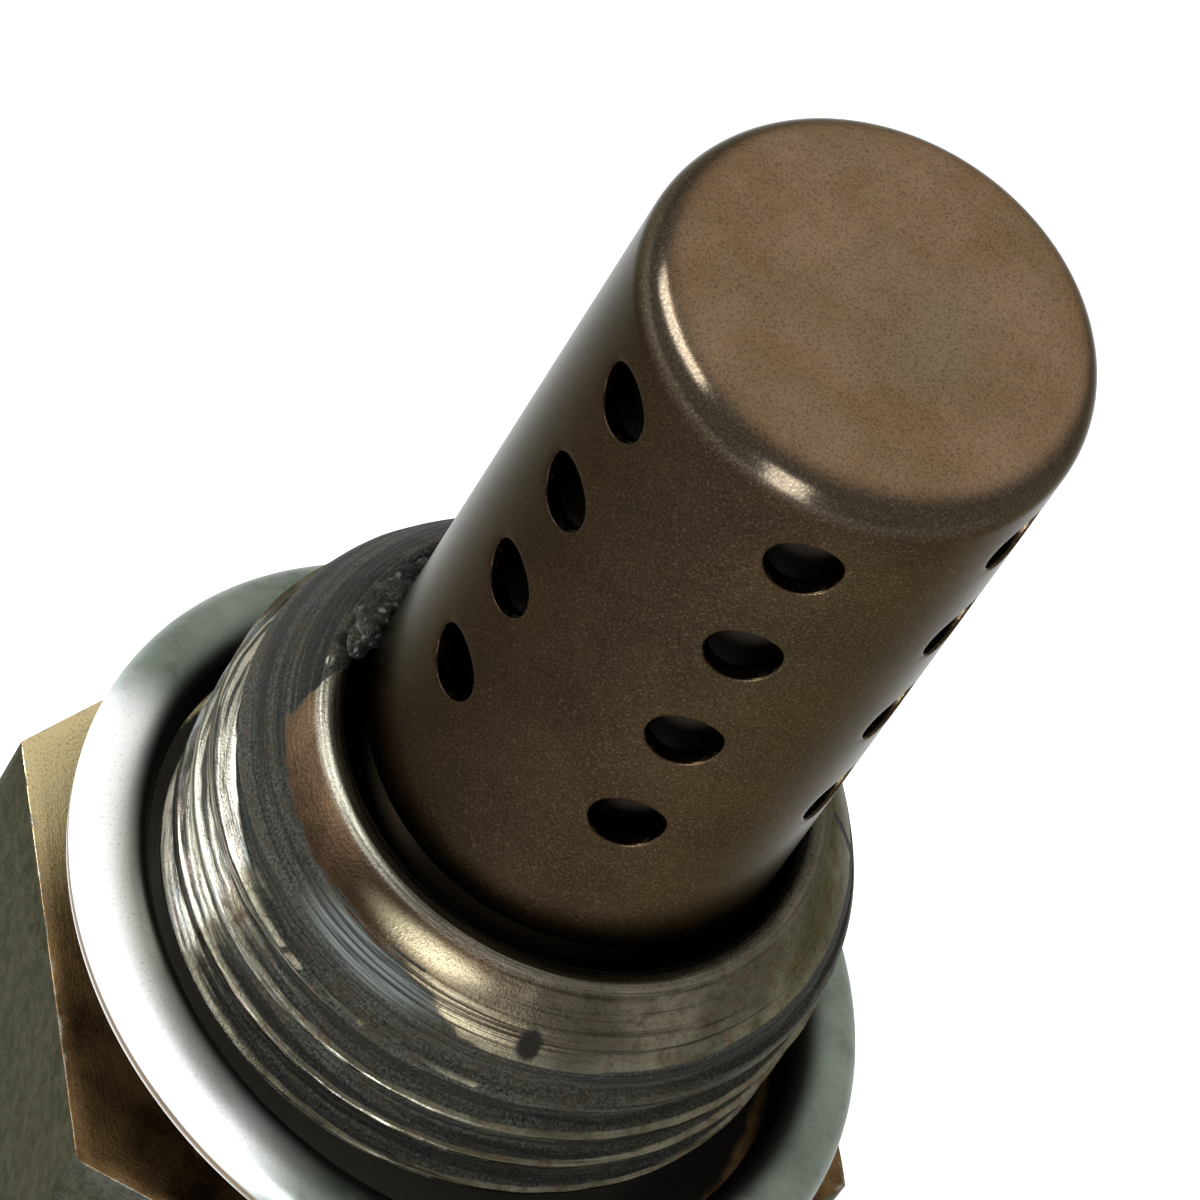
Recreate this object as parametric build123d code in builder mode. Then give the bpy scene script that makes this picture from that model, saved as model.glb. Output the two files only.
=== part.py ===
from build123d import *
import os
from math import cos, radians, sin, sqrt, tan

# Heated oxygen sensor for an exhaust pipe, with a zirconia thimble inside a double
# protection tube. Millimetres. The origin is on the axis, in the front shoulder of the
# hexagon, where the sealing ring bears. +Z runs along the axis to the closed end of the
# protection tube, and the four wire passages leave at the other end.

# Clearances: between pieces that slide or press together, between faces that bear on
# each other, and round pieces that lie loose in their space
slip = 0.03
seat_gap = 0.02
loose_gap = 0.3
cut_margin = 1.0

# Thread, nose and hexagon
thread_diameter = 18.0
thread_pitch = 1.5
thread_depth_per_pitch = 0.6134
thread_length = 4.85
undercut_length = 3.2
nose_height = 3.4
nose_bulge = 0.22
lip_thickness = 0.65
lip_roll = 0.53
lip_round = 0.08
mouth_gap = 0.42
mouth_drop = 0.2
hex_across_flats = 22.0
hex_height = 10.0
hex_rear_chamfer = 0.9
hex_chamfer_angle = 30.0
collar_wall = 1.6
collar_length = 2.5
crimp_wall = 1.0
crimp_length = 3.1
crimp_thickness = 1.0
crimp_lip_width = 1.1

# Bores of the shell, which take the sheath of the inner tube as their measure
front_bore_length = 4.75
seat_width = 1.7
seat_angle = 30.0

# Sealing ring, folded from sheet and lying askew on the hexagon
ring_play = 0.5
ring_width = 2.15
ring_thickness = 1.8
ring_sheet = 0.4
ring_seam = 0.3
ring_tilt = 7.6
ring_lift_azimuth = 226.0
ring_slip = 0.43
ring_slip_azimuth = 305.5
ring_tab_reach = 0.9
ring_tab_width = 1.6
ring_tabs = 3

# Outer protection tube
tube_diameter = 12.0
tube_wall = 0.45
tube_length = 21.75
tube_end_radius = 1.4
tube_foot_radius = 0.45
tube_foot_step = 0.65
flange_width = 1.6
hole_diameter = 2.16
hole_pitch = 4.12
hole_end_distance = 3.32
holes_in_row = 4
hole_rows = 6
hole_clocking = 41.9

# Inner protection tube
inner_tube_gap = 0.2
inner_tube_wall = 0.4
inner_tube_end_gap = 1.75
inner_tube_end_radius = 1.0
inner_hole_diameter = 1.8
inner_hole_pitch = 6.0
inner_hole_end_distance = 5.0
inner_holes_in_row = 2
inner_end_hole_diameter = 2.0

# Zirconia thimble, its washer and its packing
washer_thickness = 0.4
element_tip_gap = 2.1
element_neck_gap = 0.7
element_taper = 0.8
element_collar_length = 2.8
packing_width = 2.05
element_stem_projection = 3.9
element_wall = 0.8
element_tip_wall = 1.5
contact_bore_step = 0.6
contact_bore_end_gap = 0.8
packing_ring_wire = 1.0
bush_length = 6.0
bush_spigot_gap = 0.1

# Heater and contacts
heater_gap = 0.5
heater_tip_gap = 0.9
heater_tip_flat = 0.6
heater_projection = 11.0
contact_sheet = 0.25
outer_contact_length = 3.4
inner_contact_length = 8.0
tab_width = 1.6
tab_inset = 0.1
tab_straight = 0.6
terminal_sheet = 0.4
terminal_arm_length = 5.0
barrel_diameter = 2.0
barrel_bore = 1.5
barrel_length = 5.0
barrel_drop = 2.4

# Ceramic contact holder and its spring
contact_space = 2.9
holder_spring_space = 1.33
holder_front_length = 7.0
holder_flange_gap = 0.23
holder_flange_length = 2.6
holder_flange_chamfer = 0.9
shoulder_angle = 45.0
holder_rear_length = 4.5
holder_slot_width = 2.0
holder_slot_height = 1.3
holder_spring_sheet = 0.25
holder_spring_length = 4.2
finger_slope_length = 1.7
holder_spring_fingers = 6
finger_width = 2.2

# Rear sleeve, vent and grommet
sleeve_wall = 0.5
sleeve_gap = 0.4
holder_rear_gap = 0.1
vent_distance = 0.8
vent_hole_diameter = 1.6
vent_holes = 4
membrane_thickness = 0.4
membrane_length = 7.0
vent_sleeve_wall = 0.45
vent_crimp_length = 1.3
grommet_length = 11.0
grommet_projection = 0.8
grommet_space = 2.3
groove_depth = 0.4
groove_width = 1.6
groove_distance = 3.0
groove_spacing = 3.6
wire_bore_diameter = 2.3
wire_edge_distance = 2.8
wire_count = 4
first_wire_azimuth = 45.0

# Radii and heights that follow from the sizes above
thread_radius = thread_diameter / 2
root_radius = thread_radius - thread_depth_per_pitch * thread_pitch
thread_start_z = undercut_length + (thread_radius - root_radius)
thread_top_z = undercut_length + thread_length
lip_top_z = thread_top_z + nose_height
tube_radius = tube_diameter / 2
mouth_radius = tube_radius + mouth_gap
lip_crest_radius = mouth_radius + lip_roll
neck_radius = tube_radius - tube_foot_step
flange_radius = neck_radius + flange_width
outer_flange_z = lip_top_z - lip_thickness
inner_flange_z = outer_flange_z - tube_wall
ledge_z = inner_flange_z - inner_tube_wall
inner_tube_radius = neck_radius - tube_wall - inner_tube_gap
front_bore_radius = inner_tube_radius - inner_tube_wall
body_bore_radius = front_bore_radius + seat_width
seat_slope = tan(radians(seat_angle))
seat_inner_z = ledge_z - front_bore_length
seat_outer_z = seat_inner_z - seat_width * seat_slope
collar_radius = body_bore_radius + collar_wall
collar_end_z = -hex_height - collar_length
crimp_radius = body_bore_radius + crimp_wall
crimp_end_z = collar_end_z - crimp_length
crimp_inner_z = crimp_end_z + crimp_thickness
tube_end_z = lip_top_z + tube_length
inner_tube_end_z = tube_end_z - tube_wall - inner_tube_end_gap
element_tip_z = inner_tube_end_z - inner_tube_wall - element_tip_gap
stem_radius = body_bore_radius - packing_width
stem_end_z = crimp_end_z - element_stem_projection


def seat_z(radius):
    """Height of the shell's conical seat at a radius."""
    return seat_inner_z - (radius - front_bore_radius) * seat_slope


def azimuth_plane(angle):
    """Upright plane through the axis: local x is the radius at that azimuth, local y is +Z."""
    outward = (cos(radians(angle)), sin(radians(angle)), 0)
    across = (sin(radians(angle)), -cos(radians(angle)), 0)
    return Plane(origin=(0, 0, 0), x_dir=outward, z_dir=across)


os.makedirs("parts", exist_ok=True)

# Shell: one turned piece with the hexagon, the thread, the nose whose lip is rolled over
# the flanges of the protection tubes, and the rear lip crimped over the packing
hex_corner_radius = hex_across_flats / 2 / cos(radians(30))
hex_chamfer_slope = tan(radians(hex_chamfer_angle))
hex_chamfer_z = -hex_height + hex_rear_chamfer
with BuildPart() as hex_shell:
    with BuildSketch(Plane.XY.offset(-hex_height)):
        RegularPolygon(radius=hex_across_flats / 2, side_count=6, major_radius=False)
    extrude(amount=hex_height)
    with BuildSketch(Plane.XZ):
        with BuildLine():
            Polyline(
                (0, 0),
                (hex_corner_radius + cut_margin, 0),
                (hex_corner_radius + cut_margin, hex_chamfer_z + cut_margin * hex_chamfer_slope),
                (hex_corner_radius, hex_chamfer_z),
                (hex_corner_radius - hex_rear_chamfer / hex_chamfer_slope, -hex_height),
                (0, -hex_height),
                close=True,
            )
        make_face()
    revolve(axis=Axis.Z, mode=Mode.INTERSECT)
    with BuildSketch(Plane.XZ):
        with BuildLine():
            Line((0, crimp_end_z), (0, lip_top_z - mouth_drop))
            Line((0, lip_top_z - mouth_drop), (mouth_radius, lip_top_z - mouth_drop))
            SagittaArc(
                (mouth_radius, lip_top_z - mouth_drop), (lip_crest_radius, lip_top_z), lip_round
            )
            SagittaArc((lip_crest_radius, lip_top_z), (thread_radius, thread_top_z), nose_bulge)
            Polyline(
                (thread_radius, thread_top_z),
                (thread_radius, thread_start_z),
                (root_radius, undercut_length),
                (root_radius, -hex_height / 2),
                (collar_radius, -hex_height / 2),
                (collar_radius, collar_end_z),
                (crimp_radius, collar_end_z),
                (crimp_radius, crimp_inner_z),
            )
            RadiusArc(
                (crimp_radius, crimp_inner_z),
                (crimp_radius - crimp_thickness, crimp_end_z),
                crimp_thickness,
            )
            Line((crimp_radius - crimp_thickness, crimp_end_z), (0, crimp_end_z))
        make_face()
    revolve(axis=Axis.Z)
    with BuildSketch(Plane.XZ):
        with BuildLine():
            Polyline(
                (0, lip_top_z + cut_margin),
                (mouth_radius, lip_top_z + cut_margin),
                (mouth_radius, outer_flange_z),
                (flange_radius + slip, outer_flange_z),
                (flange_radius + slip, ledge_z),
                (front_bore_radius, ledge_z),
                (front_bore_radius, seat_inner_z),
                (body_bore_radius, seat_outer_z),
                (body_bore_radius, crimp_inner_z),
                (body_bore_radius - crimp_lip_width, crimp_inner_z),
                (body_bore_radius - crimp_lip_width, crimp_end_z - cut_margin),
                (0, crimp_end_z - cut_margin),
                close=True,
            )
        make_face()
    revolve(axis=Axis.Z, mode=Mode.SUBTRACT)
hex_shell.part.label = "hex_shell"
export_step(hex_shell.part, "parts/hex_shell.step")

# Sealing ring: a steel strip folded into a closed hoop that crushes when it is tightened.
# Small tabs of the lower fold reach into the undercut, so the loose ring can't fall off.
# One side has climbed the thread, and the other still lies on the hexagon.
ring_bore_radius = thread_radius + ring_play
ring_radius = ring_bore_radius + ring_width
ring_fold = ring_thickness / 2 - seat_gap
ring_round = min(ring_fold, ring_width / 2) - seat_gap
ring_low_reach = (ring_radius - ring_fold) * sin(radians(ring_tilt)) + ring_fold
ring_middle = (ring_bore_radius + ring_width / 2, 0)
ring_origin = (
    ring_slip * cos(radians(ring_slip_azimuth)),
    ring_slip * sin(radians(ring_slip_azimuth)),
    ring_low_reach + seat_gap,
)
ring_normal = (
    -sin(radians(ring_tilt)) * cos(radians(ring_lift_azimuth)),
    -sin(radians(ring_tilt)) * sin(radians(ring_lift_azimuth)),
    cos(radians(ring_tilt)),
)
ring_frame = Plane(origin=ring_origin, z_dir=ring_normal)
ring_section = Plane(origin=ring_origin, x_dir=ring_frame.x_dir, z_dir=-ring_frame.y_dir)
with BuildPart() as sealing_ring:
    with BuildSketch(ring_section):
        with Locations(ring_middle):
            RectangleRounded(ring_width, 2 * ring_fold, ring_round)
            RectangleRounded(
                ring_width - 2 * ring_sheet,
                2 * (ring_fold - ring_sheet),
                ring_round - ring_sheet,
                mode=Mode.SUBTRACT,
            )
        with Locations((ring_bore_radius + ring_sheet / 2, 0)):
            Rectangle(2 * ring_sheet, ring_seam, mode=Mode.SUBTRACT)
    revolve(axis=Axis(ring_origin, ring_normal))
    with BuildSketch(ring_frame.offset(-ring_fold)):
        with PolarLocations(ring_bore_radius - ring_tab_reach, ring_tabs):
            Rectangle(
                ring_tab_reach + ring_fold, ring_tab_width, align=(Align.MIN, Align.CENTER)
            )
    extrude(amount=ring_sheet)
sealing_ring.part.label = "sealing_ring"
export_step(sealing_ring.part, "parts/sealing_ring.step")

# Outer protection tube: deep drawn cup, pierced in six rows of four, with a stepped foot
# and a flange that the shell's lip holds down
with BuildPart() as outer_protection_tube:
    with BuildSketch(Plane.XZ):
        with BuildLine():
            FilletPolyline(
                (0, tube_end_z),
                (tube_radius, tube_end_z),
                (tube_radius, lip_top_z),
                (neck_radius, lip_top_z),
                (neck_radius, outer_flange_z - seat_gap),
                (flange_radius, outer_flange_z - seat_gap),
                (flange_radius, inner_flange_z),
                (neck_radius - tube_wall, inner_flange_z),
                (neck_radius - tube_wall, lip_top_z + tube_wall),
                (tube_radius - tube_wall, lip_top_z + tube_wall),
                (tube_radius - tube_wall, tube_end_z - tube_wall),
                (0, tube_end_z - tube_wall),
                radius=[
                    tube_end_radius,
                    tube_foot_radius,
                    0,
                    0,
                    0,
                    0,
                    0,
                    0,
                    0,
                    tube_end_radius - tube_wall,
                ],
            )
            Line((0, tube_end_z - tube_wall), (0, tube_end_z))
        make_face()
    revolve(axis=Axis.Z)
    for row in range(hole_rows):
        row_plane = azimuth_plane(hole_clocking + row * 360 / hole_rows + 90)
        with BuildSketch(row_plane):
            for hole in range(holes_in_row):
                with Locations((0, tube_end_z - hole_end_distance - hole * hole_pitch)):
                    Circle(hole_diameter / 2)
        extrude(amount=tube_radius + cut_margin, mode=Mode.SUBTRACT)
outer_protection_tube.part.label = "outer_protection_tube"
export_step(outer_protection_tube.part, "parts/outer_protection_tube.step")

# Inner protection tube: a second cup inside the first, its holes between the outer rows,
# so that no gas stream or water drop reaches the ceramic straight
with BuildPart() as inner_protection_tube:
    with BuildSketch(Plane.XZ):
        with BuildLine():
            FilletPolyline(
                (inner_end_hole_diameter / 2, inner_tube_end_z),
                (inner_tube_radius, inner_tube_end_z),
                (inner_tube_radius, inner_flange_z - seat_gap),
                (flange_radius, inner_flange_z - seat_gap),
                (flange_radius, ledge_z + seat_gap),
                (inner_tube_radius - inner_tube_wall, ledge_z + seat_gap),
                (inner_tube_radius - inner_tube_wall, inner_tube_end_z - inner_tube_wall),
                (inner_end_hole_diameter / 2, inner_tube_end_z - inner_tube_wall),
                radius=[
                    inner_tube_end_radius,
                    0,
                    0,
                    0,
                    0,
                    inner_tube_end_radius - inner_tube_wall,
                ],
            )
            Line(
                (inner_end_hole_diameter / 2, inner_tube_end_z - inner_tube_wall),
                (inner_end_hole_diameter / 2, inner_tube_end_z),
            )
        make_face()
    revolve(axis=Axis.Z)
    for row in range(hole_rows):
        row_plane = azimuth_plane(hole_clocking + (row + 0.5) * 360 / hole_rows + 90)
        with BuildSketch(row_plane):
            for hole in range(inner_holes_in_row):
                hole_z = inner_tube_end_z - inner_hole_end_distance - hole * inner_hole_pitch
                with Locations((0, hole_z)):
                    Circle(inner_hole_diameter / 2)
        extrude(amount=inner_tube_radius + cut_margin, mode=Mode.SUBTRACT)
inner_protection_tube.part.label = "inner_protection_tube"
export_step(inner_protection_tube.part, "parts/inner_protection_tube.step")

# Seat washer: soft metal cone that seals the thimble's collar on the shell's seat
washer_inner_radius = front_bore_radius + loose_gap
washer_outer_radius = body_bore_radius - slip
with BuildPart() as seat_washer:
    with BuildSketch(Plane.XZ):
        with BuildLine():
            Polyline(
                (washer_inner_radius, seat_z(washer_inner_radius) - seat_gap),
                (washer_outer_radius, seat_z(washer_outer_radius) - seat_gap),
                (washer_outer_radius, seat_z(washer_outer_radius) - washer_thickness),
                (washer_inner_radius, seat_z(washer_inner_radius) - washer_thickness),
                close=True,
            )
        make_face()
    revolve(axis=Axis.Z)
seat_washer.part.label = "seat_washer"
export_step(seat_washer.part, "parts/seat_washer.step")

# Sensing element: zirconia thimble with a closed round tip, a collar that seats in the
# shell, and a plain stem that carries the contacts
neck_of_element = front_bore_radius - element_neck_gap
tip_radius = neck_of_element - element_taper
collar_outer_radius = body_bore_radius - loose_gap
collar_front_z = seat_z(collar_outer_radius) - washer_thickness - seat_gap
collar_foot_z = seat_z(neck_of_element) - washer_thickness - seat_gap
collar_rear_z = collar_front_z - element_collar_length
stem_top_z = collar_rear_z - (collar_outer_radius - stem_radius) * seat_slope
bore_radius = tip_radius - element_wall
heater_radius = bore_radius - heater_gap
bore_end_z = element_tip_z - element_tip_wall
contact_bore_radius = bore_radius + contact_bore_step
cup_floor_z = stem_end_z - seat_gap
cup_end_z = cup_floor_z - contact_sheet
inner_contact_top_z = cup_end_z + inner_contact_length
contact_bore_top_z = inner_contact_top_z + contact_bore_end_gap
with BuildPart() as sensing_element:
    with BuildSketch(Plane.XZ):
        with BuildLine():
            RadiusArc((0, element_tip_z), (tip_radius, element_tip_z - tip_radius), tip_radius)
            Polyline(
                (tip_radius, element_tip_z - tip_radius),
                (neck_of_element, collar_foot_z),
                (collar_outer_radius, collar_front_z),
                (collar_outer_radius, collar_rear_z),
                (stem_radius, stem_top_z),
                (stem_radius, stem_end_z),
                (contact_bore_radius, stem_end_z),
                (contact_bore_radius, contact_bore_top_z),
                (bore_radius, contact_bore_top_z + contact_bore_radius - bore_radius),
                (bore_radius, bore_end_z - bore_radius),
            )
            RadiusArc((bore_radius, bore_end_z - bore_radius), (0, bore_end_z), -bore_radius)
            Line((0, bore_end_z), (0, element_tip_z))
        make_face()
    revolve(axis=Axis.Z)
sensing_element.part.label = "sensing_element"
export_step(sensing_element.part, "parts/sensing_element.step")

# Packing ring: steel wire hoop that spreads the load of the crimped lip over the bush
ring_wire_radius = packing_ring_wire / 2
bush_rear_z = crimp_inner_z + packing_ring_wire + seat_gap
packing_ring_radius = body_bore_radius - ring_wire_radius - slip
with BuildPart() as packing_ring:
    with BuildSketch(Plane.XZ):
        with Locations((packing_ring_radius, crimp_inner_z + ring_wire_radius + seat_gap / 2)):
            Circle(ring_wire_radius - seat_gap / 2)
    revolve(axis=Axis.Z)
packing_ring.part.label = "packing_ring"
export_step(packing_ring.part, "parts/packing_ring.step")

# Ceramic bush: guides the stem and presses on the powder
bush_front_z = bush_rear_z + bush_length
bush_bore_radius = stem_radius + slip
bush_radius = body_bore_radius - slip
spigot_radius = packing_ring_radius - ring_wire_radius - slip
with BuildPart() as ceramic_bush:
    with BuildSketch(Plane.XZ):
        with BuildLine():
            Polyline(
                (bush_bore_radius, bush_front_z),
                (bush_radius, bush_front_z),
                (bush_radius, bush_rear_z),
                (spigot_radius, bush_rear_z),
                (spigot_radius, crimp_inner_z + bush_spigot_gap),
                (bush_bore_radius, crimp_inner_z + bush_spigot_gap),
                close=True,
            )
        make_face()
    revolve(axis=Axis.Z)
ceramic_bush.part.label = "ceramic_bush"
export_step(ceramic_bush.part, "parts/ceramic_bush.step")

# Powder packing: pressed talc that seals the thimble gas-tight in the shell
powder_front_z = collar_rear_z - seat_gap
with BuildPart() as powder_packing:
    with BuildSketch(Plane.XZ):
        with BuildLine():
            Polyline(
                (bush_bore_radius, stem_top_z - seat_gap),
                (collar_outer_radius, powder_front_z),
                (bush_radius, powder_front_z),
                (bush_radius, bush_front_z + seat_gap),
                (bush_bore_radius, bush_front_z + seat_gap),
                close=True,
            )
        make_face()
    revolve(axis=Axis.Z)
powder_packing.part.label = "powder_packing"
export_step(powder_packing.part, "parts/powder_packing.step")

# Heater: round ceramic rod that stands in the thimble and reaches back to its terminals
heater_tip_z = bore_end_z - heater_tip_gap
heater_end_z = stem_end_z - heater_projection
with BuildPart() as heater_rod:
    with BuildSketch(Plane.XY.offset(heater_end_z)):
        Circle(heater_radius)
    extrude(amount=heater_tip_z - heater_end_z)
    heater_tip = heater_rod.faces().sort_by(Axis.Z)[-1]
    fillet(heater_tip.edges(), heater_radius - heater_tip_flat)
heater_rod.part.label = "heater_rod"
export_step(heater_rod.part, "parts/heater_rod.step")

# Rear stack, measured down from the end of the thimble
holder_front_z = stem_end_z - contact_space
flange_front_z = holder_front_z - holder_front_length
flange_rear_z = flange_front_z - holder_flange_length
shoulder_slope = tan(radians(shoulder_angle))
flange_chamfer_z = flange_rear_z + holder_flange_chamfer * shoulder_slope
holder_rear_z = flange_rear_z - holder_rear_length
sleeve_inner_front = collar_radius + slip
holder_radius = sleeve_inner_front - holder_spring_space
holder_flange_radius = sleeve_inner_front - holder_flange_gap
tail_bore_radius = holder_radius + holder_rear_gap
wire_circle_radius = tail_bore_radius - wire_edge_distance
wire_radius = wire_bore_diameter / 2
barrel_radius = barrel_diameter / 2
barrel_top_z = holder_rear_z - barrel_drop
barrel_end_z = barrel_top_z - barrel_length
cup_inner_radius = stem_radius + slip
cup_outer_radius = cup_inner_radius + contact_sheet
tab_radius = cup_inner_radius - tab_inset
heater_arm_radius = heater_radius + slip
heater_arm_back = heater_arm_radius + terminal_sheet


def strip_section(plane, points, thickness):
    """Side view of a bent sheet strip, its inner side given as points of radius and height."""
    back = [(radius + thickness, height) for radius, height in reversed(points)]
    with BuildSketch(plane) as section:
        with BuildLine():
            Polyline(*points, *back, close=True)
        make_face()
    return section.sketch


def barrel_section(angle):
    """Ring of the open barrel that grips a wire's end, above one bore of the grommet."""
    middle = (
        wire_circle_radius * cos(radians(angle)),
        wire_circle_radius * sin(radians(angle)),
    )
    with BuildSketch(Plane.XY.offset(barrel_end_z)) as section:
        with Locations(middle):
            Circle(barrel_radius)
            Circle(barrel_bore / 2, mode=Mode.SUBTRACT)
    return section.sketch


# Outer contact: spring cup pressed over the stem, with a tab to its wire
outer_contact_azimuth = first_wire_azimuth + 360 / wire_count
with BuildPart() as outer_contact:
    with BuildSketch(Plane.XZ):
        with BuildLine():
            Polyline(
                (cup_inner_radius, cup_floor_z + outer_contact_length),
                (cup_outer_radius, cup_floor_z + outer_contact_length),
                (cup_outer_radius, cup_end_z),
                (contact_bore_radius + contact_sheet, cup_end_z),
                (contact_bore_radius + contact_sheet, cup_floor_z),
                (cup_inner_radius, cup_floor_z),
                close=True,
            )
        make_face()
    revolve(axis=Axis.Z)
    tab_points = [
        (tab_radius, cup_floor_z - contact_sheet / 2),
        (tab_radius, holder_rear_z - tab_straight),
        (wire_circle_radius + barrel_bore / 2, barrel_top_z),
        (wire_circle_radius + barrel_bore / 2, barrel_top_z - contact_sheet),
    ]
    tab = strip_section(azimuth_plane(outer_contact_azimuth), tab_points, contact_sheet)
    extrude(tab, amount=tab_width / 2, both=True)
    extrude(barrel_section(outer_contact_azimuth), amount=barrel_length)
outer_contact.part.label = "outer_contact"
export_step(outer_contact.part, "parts/outer_contact.step")

# Inner contact: sleeve in the thimble's bore that also centres the heater, with a tab
sleeve_outer_radius = contact_bore_radius - slip
sleeve_inner_radius = sleeve_outer_radius - contact_sheet
inner_contact_azimuth = outer_contact_azimuth + 180
with BuildPart() as inner_contact:
    with BuildSketch(Plane.XZ):
        with BuildLine():
            Polyline(
                (heater_radius + slip, inner_contact_top_z),
                (sleeve_outer_radius, inner_contact_top_z),
                (sleeve_outer_radius, cup_end_z),
                (sleeve_inner_radius, cup_end_z),
                (sleeve_inner_radius, inner_contact_top_z - contact_sheet),
                (heater_radius + slip, inner_contact_top_z - contact_sheet),
                close=True,
            )
        make_face()
    revolve(axis=Axis.Z)
    tab_points = [
        (sleeve_inner_radius - tab_inset, cup_end_z + contact_sheet),
        (sleeve_inner_radius - tab_inset, cup_end_z - tab_straight),
        (tab_radius, holder_front_z + tab_straight),
        (tab_radius, holder_rear_z - tab_straight),
        (wire_circle_radius + barrel_bore / 2, barrel_top_z),
        (wire_circle_radius + barrel_bore / 2, barrel_top_z - contact_sheet),
    ]
    tab = strip_section(azimuth_plane(inner_contact_azimuth), tab_points, contact_sheet)
    extrude(tab, amount=tab_width / 2, both=True)
    extrude(barrel_section(inner_contact_azimuth), amount=barrel_length)
inner_contact.part.label = "inner_contact"
export_step(inner_contact.part, "parts/inner_contact.step")

# Heater terminals: two alike, each with an arm that bears on a pad of the heater rod
for terminal_name, half_turn in (("heater_terminal_a", 0), ("heater_terminal_b", 180)):
    terminal_angle = first_wire_azimuth + half_turn
    with BuildPart() as heater_terminal:
        arm_points = [
            (heater_arm_radius, heater_end_z + terminal_arm_length),
            (heater_arm_radius, holder_rear_z - tab_straight),
            (wire_circle_radius - barrel_radius, barrel_top_z),
            (wire_circle_radius - barrel_radius, barrel_top_z - terminal_sheet),
        ]
        arm = strip_section(azimuth_plane(terminal_angle), arm_points, terminal_sheet)
        extrude(arm, amount=tab_width / 2, both=True)
        extrude(barrel_section(terminal_angle), amount=barrel_length)
    heater_terminal.part.label = terminal_name
    export_step(heater_terminal.part, "parts/" + terminal_name + ".step")

# Contact holder: ceramic cylinder with a flange, a middle bore for the heater's end and
# four slots that keep the terminals apart
holder_bore_radius = heater_radius + loose_gap
heater_slot_outer = heater_arm_back + loose_gap
signal_slot_inner = tab_radius - loose_gap
with BuildPart() as contact_holder:
    with BuildSketch(Plane.XZ):
        with BuildLine():
            Polyline(
                (0, holder_front_z),
                (holder_radius, holder_front_z),
                (holder_radius, flange_front_z),
                (holder_flange_radius, flange_front_z),
                (holder_flange_radius, flange_chamfer_z),
                (holder_flange_radius - holder_flange_chamfer, flange_rear_z),
                (holder_radius - holder_flange_chamfer / 2, flange_rear_z),
                (holder_radius - holder_flange_chamfer / 2, holder_rear_z),
                (0, holder_rear_z),
                close=True,
            )
        make_face()
    revolve(axis=Axis.Z)
    with BuildSketch(Plane.XY.offset(holder_rear_z)):
        Circle(holder_bore_radius)
        with Locations(Location((0, 0, 0), (0, 0, first_wire_azimuth))):
            Rectangle(2 * heater_slot_outer, holder_slot_width)
        with Locations(Location((0, 0, 0), (0, 0, outer_contact_azimuth))):
            with Locations(
                (signal_slot_inner + holder_slot_height / 2, 0),
                (-signal_slot_inner - holder_slot_height / 2, 0),
            ):
                Rectangle(holder_slot_height, holder_slot_width)
    extrude(amount=holder_front_z - holder_rear_z, mode=Mode.SUBTRACT)
contact_holder.part.label = "contact_holder"
export_step(contact_holder.part, "parts/contact_holder.step")

# Holder spring: corrugated steel band that centres the holder in the sleeve
spring_inner_radius = holder_radius + slip
spring_top_z = flange_front_z + seat_gap + holder_spring_length
spring_foot_z = flange_front_z + seat_gap
finger_back = sqrt((sleeve_inner_front - slip) ** 2 - (finger_width / 2) ** 2)
finger_reach = finger_back - holder_spring_sheet
with BuildPart() as holder_spring:
    with BuildSketch(Plane.XY.offset(spring_foot_z)):
        Circle(spring_inner_radius + holder_spring_sheet)
        Circle(spring_inner_radius, mode=Mode.SUBTRACT)
    extrude(amount=holder_spring_length)
    finger_points = [
        (spring_inner_radius, spring_top_z),
        (finger_reach, spring_top_z - finger_slope_length),
        (finger_reach, spring_foot_z + finger_slope_length),
        (spring_inner_radius, spring_foot_z),
    ]
    for finger in range(holder_spring_fingers):
        finger_plane = azimuth_plane(finger * 360 / holder_spring_fingers)
        finger_section = strip_section(finger_plane, finger_points, holder_spring_sheet)
        extrude(finger_section, amount=finger_width / 2, both=True)
holder_spring.part.label = "holder_spring"
export_step(holder_spring.part, "parts/holder_spring.step")

# Rear sleeve: drawn steel cover welded round the shell's collar, stepped down to a tail
# that is crimped in two grooves over the grommet
sleeve_outer_front = sleeve_inner_front + sleeve_wall
tail_radius = tail_bore_radius + sleeve_wall
shoulder_inner_z = flange_chamfer_z - seat_gap + holder_flange_gap * shoulder_slope
shoulder_step = sleeve_inner_front - tail_bore_radius
shoulder_inner_end_z = shoulder_inner_z - shoulder_step * shoulder_slope
shoulder_drop = sleeve_wall * tan(radians((90 - shoulder_angle) / 2))
grommet_top_z = barrel_end_z - grommet_space
grommet_end_z = grommet_top_z - grommet_length
sleeve_end_z = grommet_end_z + grommet_projection
sleeve_top_z = -hex_height - sleeve_gap
groove_radius = (groove_width**2 / 4 + groove_depth**2) / (2 * groove_depth)
groove_centre_radius = tail_radius - groove_depth + groove_radius
groove_heights = [sleeve_end_z + groove_distance + i * groove_spacing for i in range(2)]
vent_top_z = shoulder_inner_end_z - shoulder_drop - vent_distance
membrane_top_z = vent_top_z - vent_crimp_length - membrane_thickness
vent_z = membrane_top_z - membrane_length / 2
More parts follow.
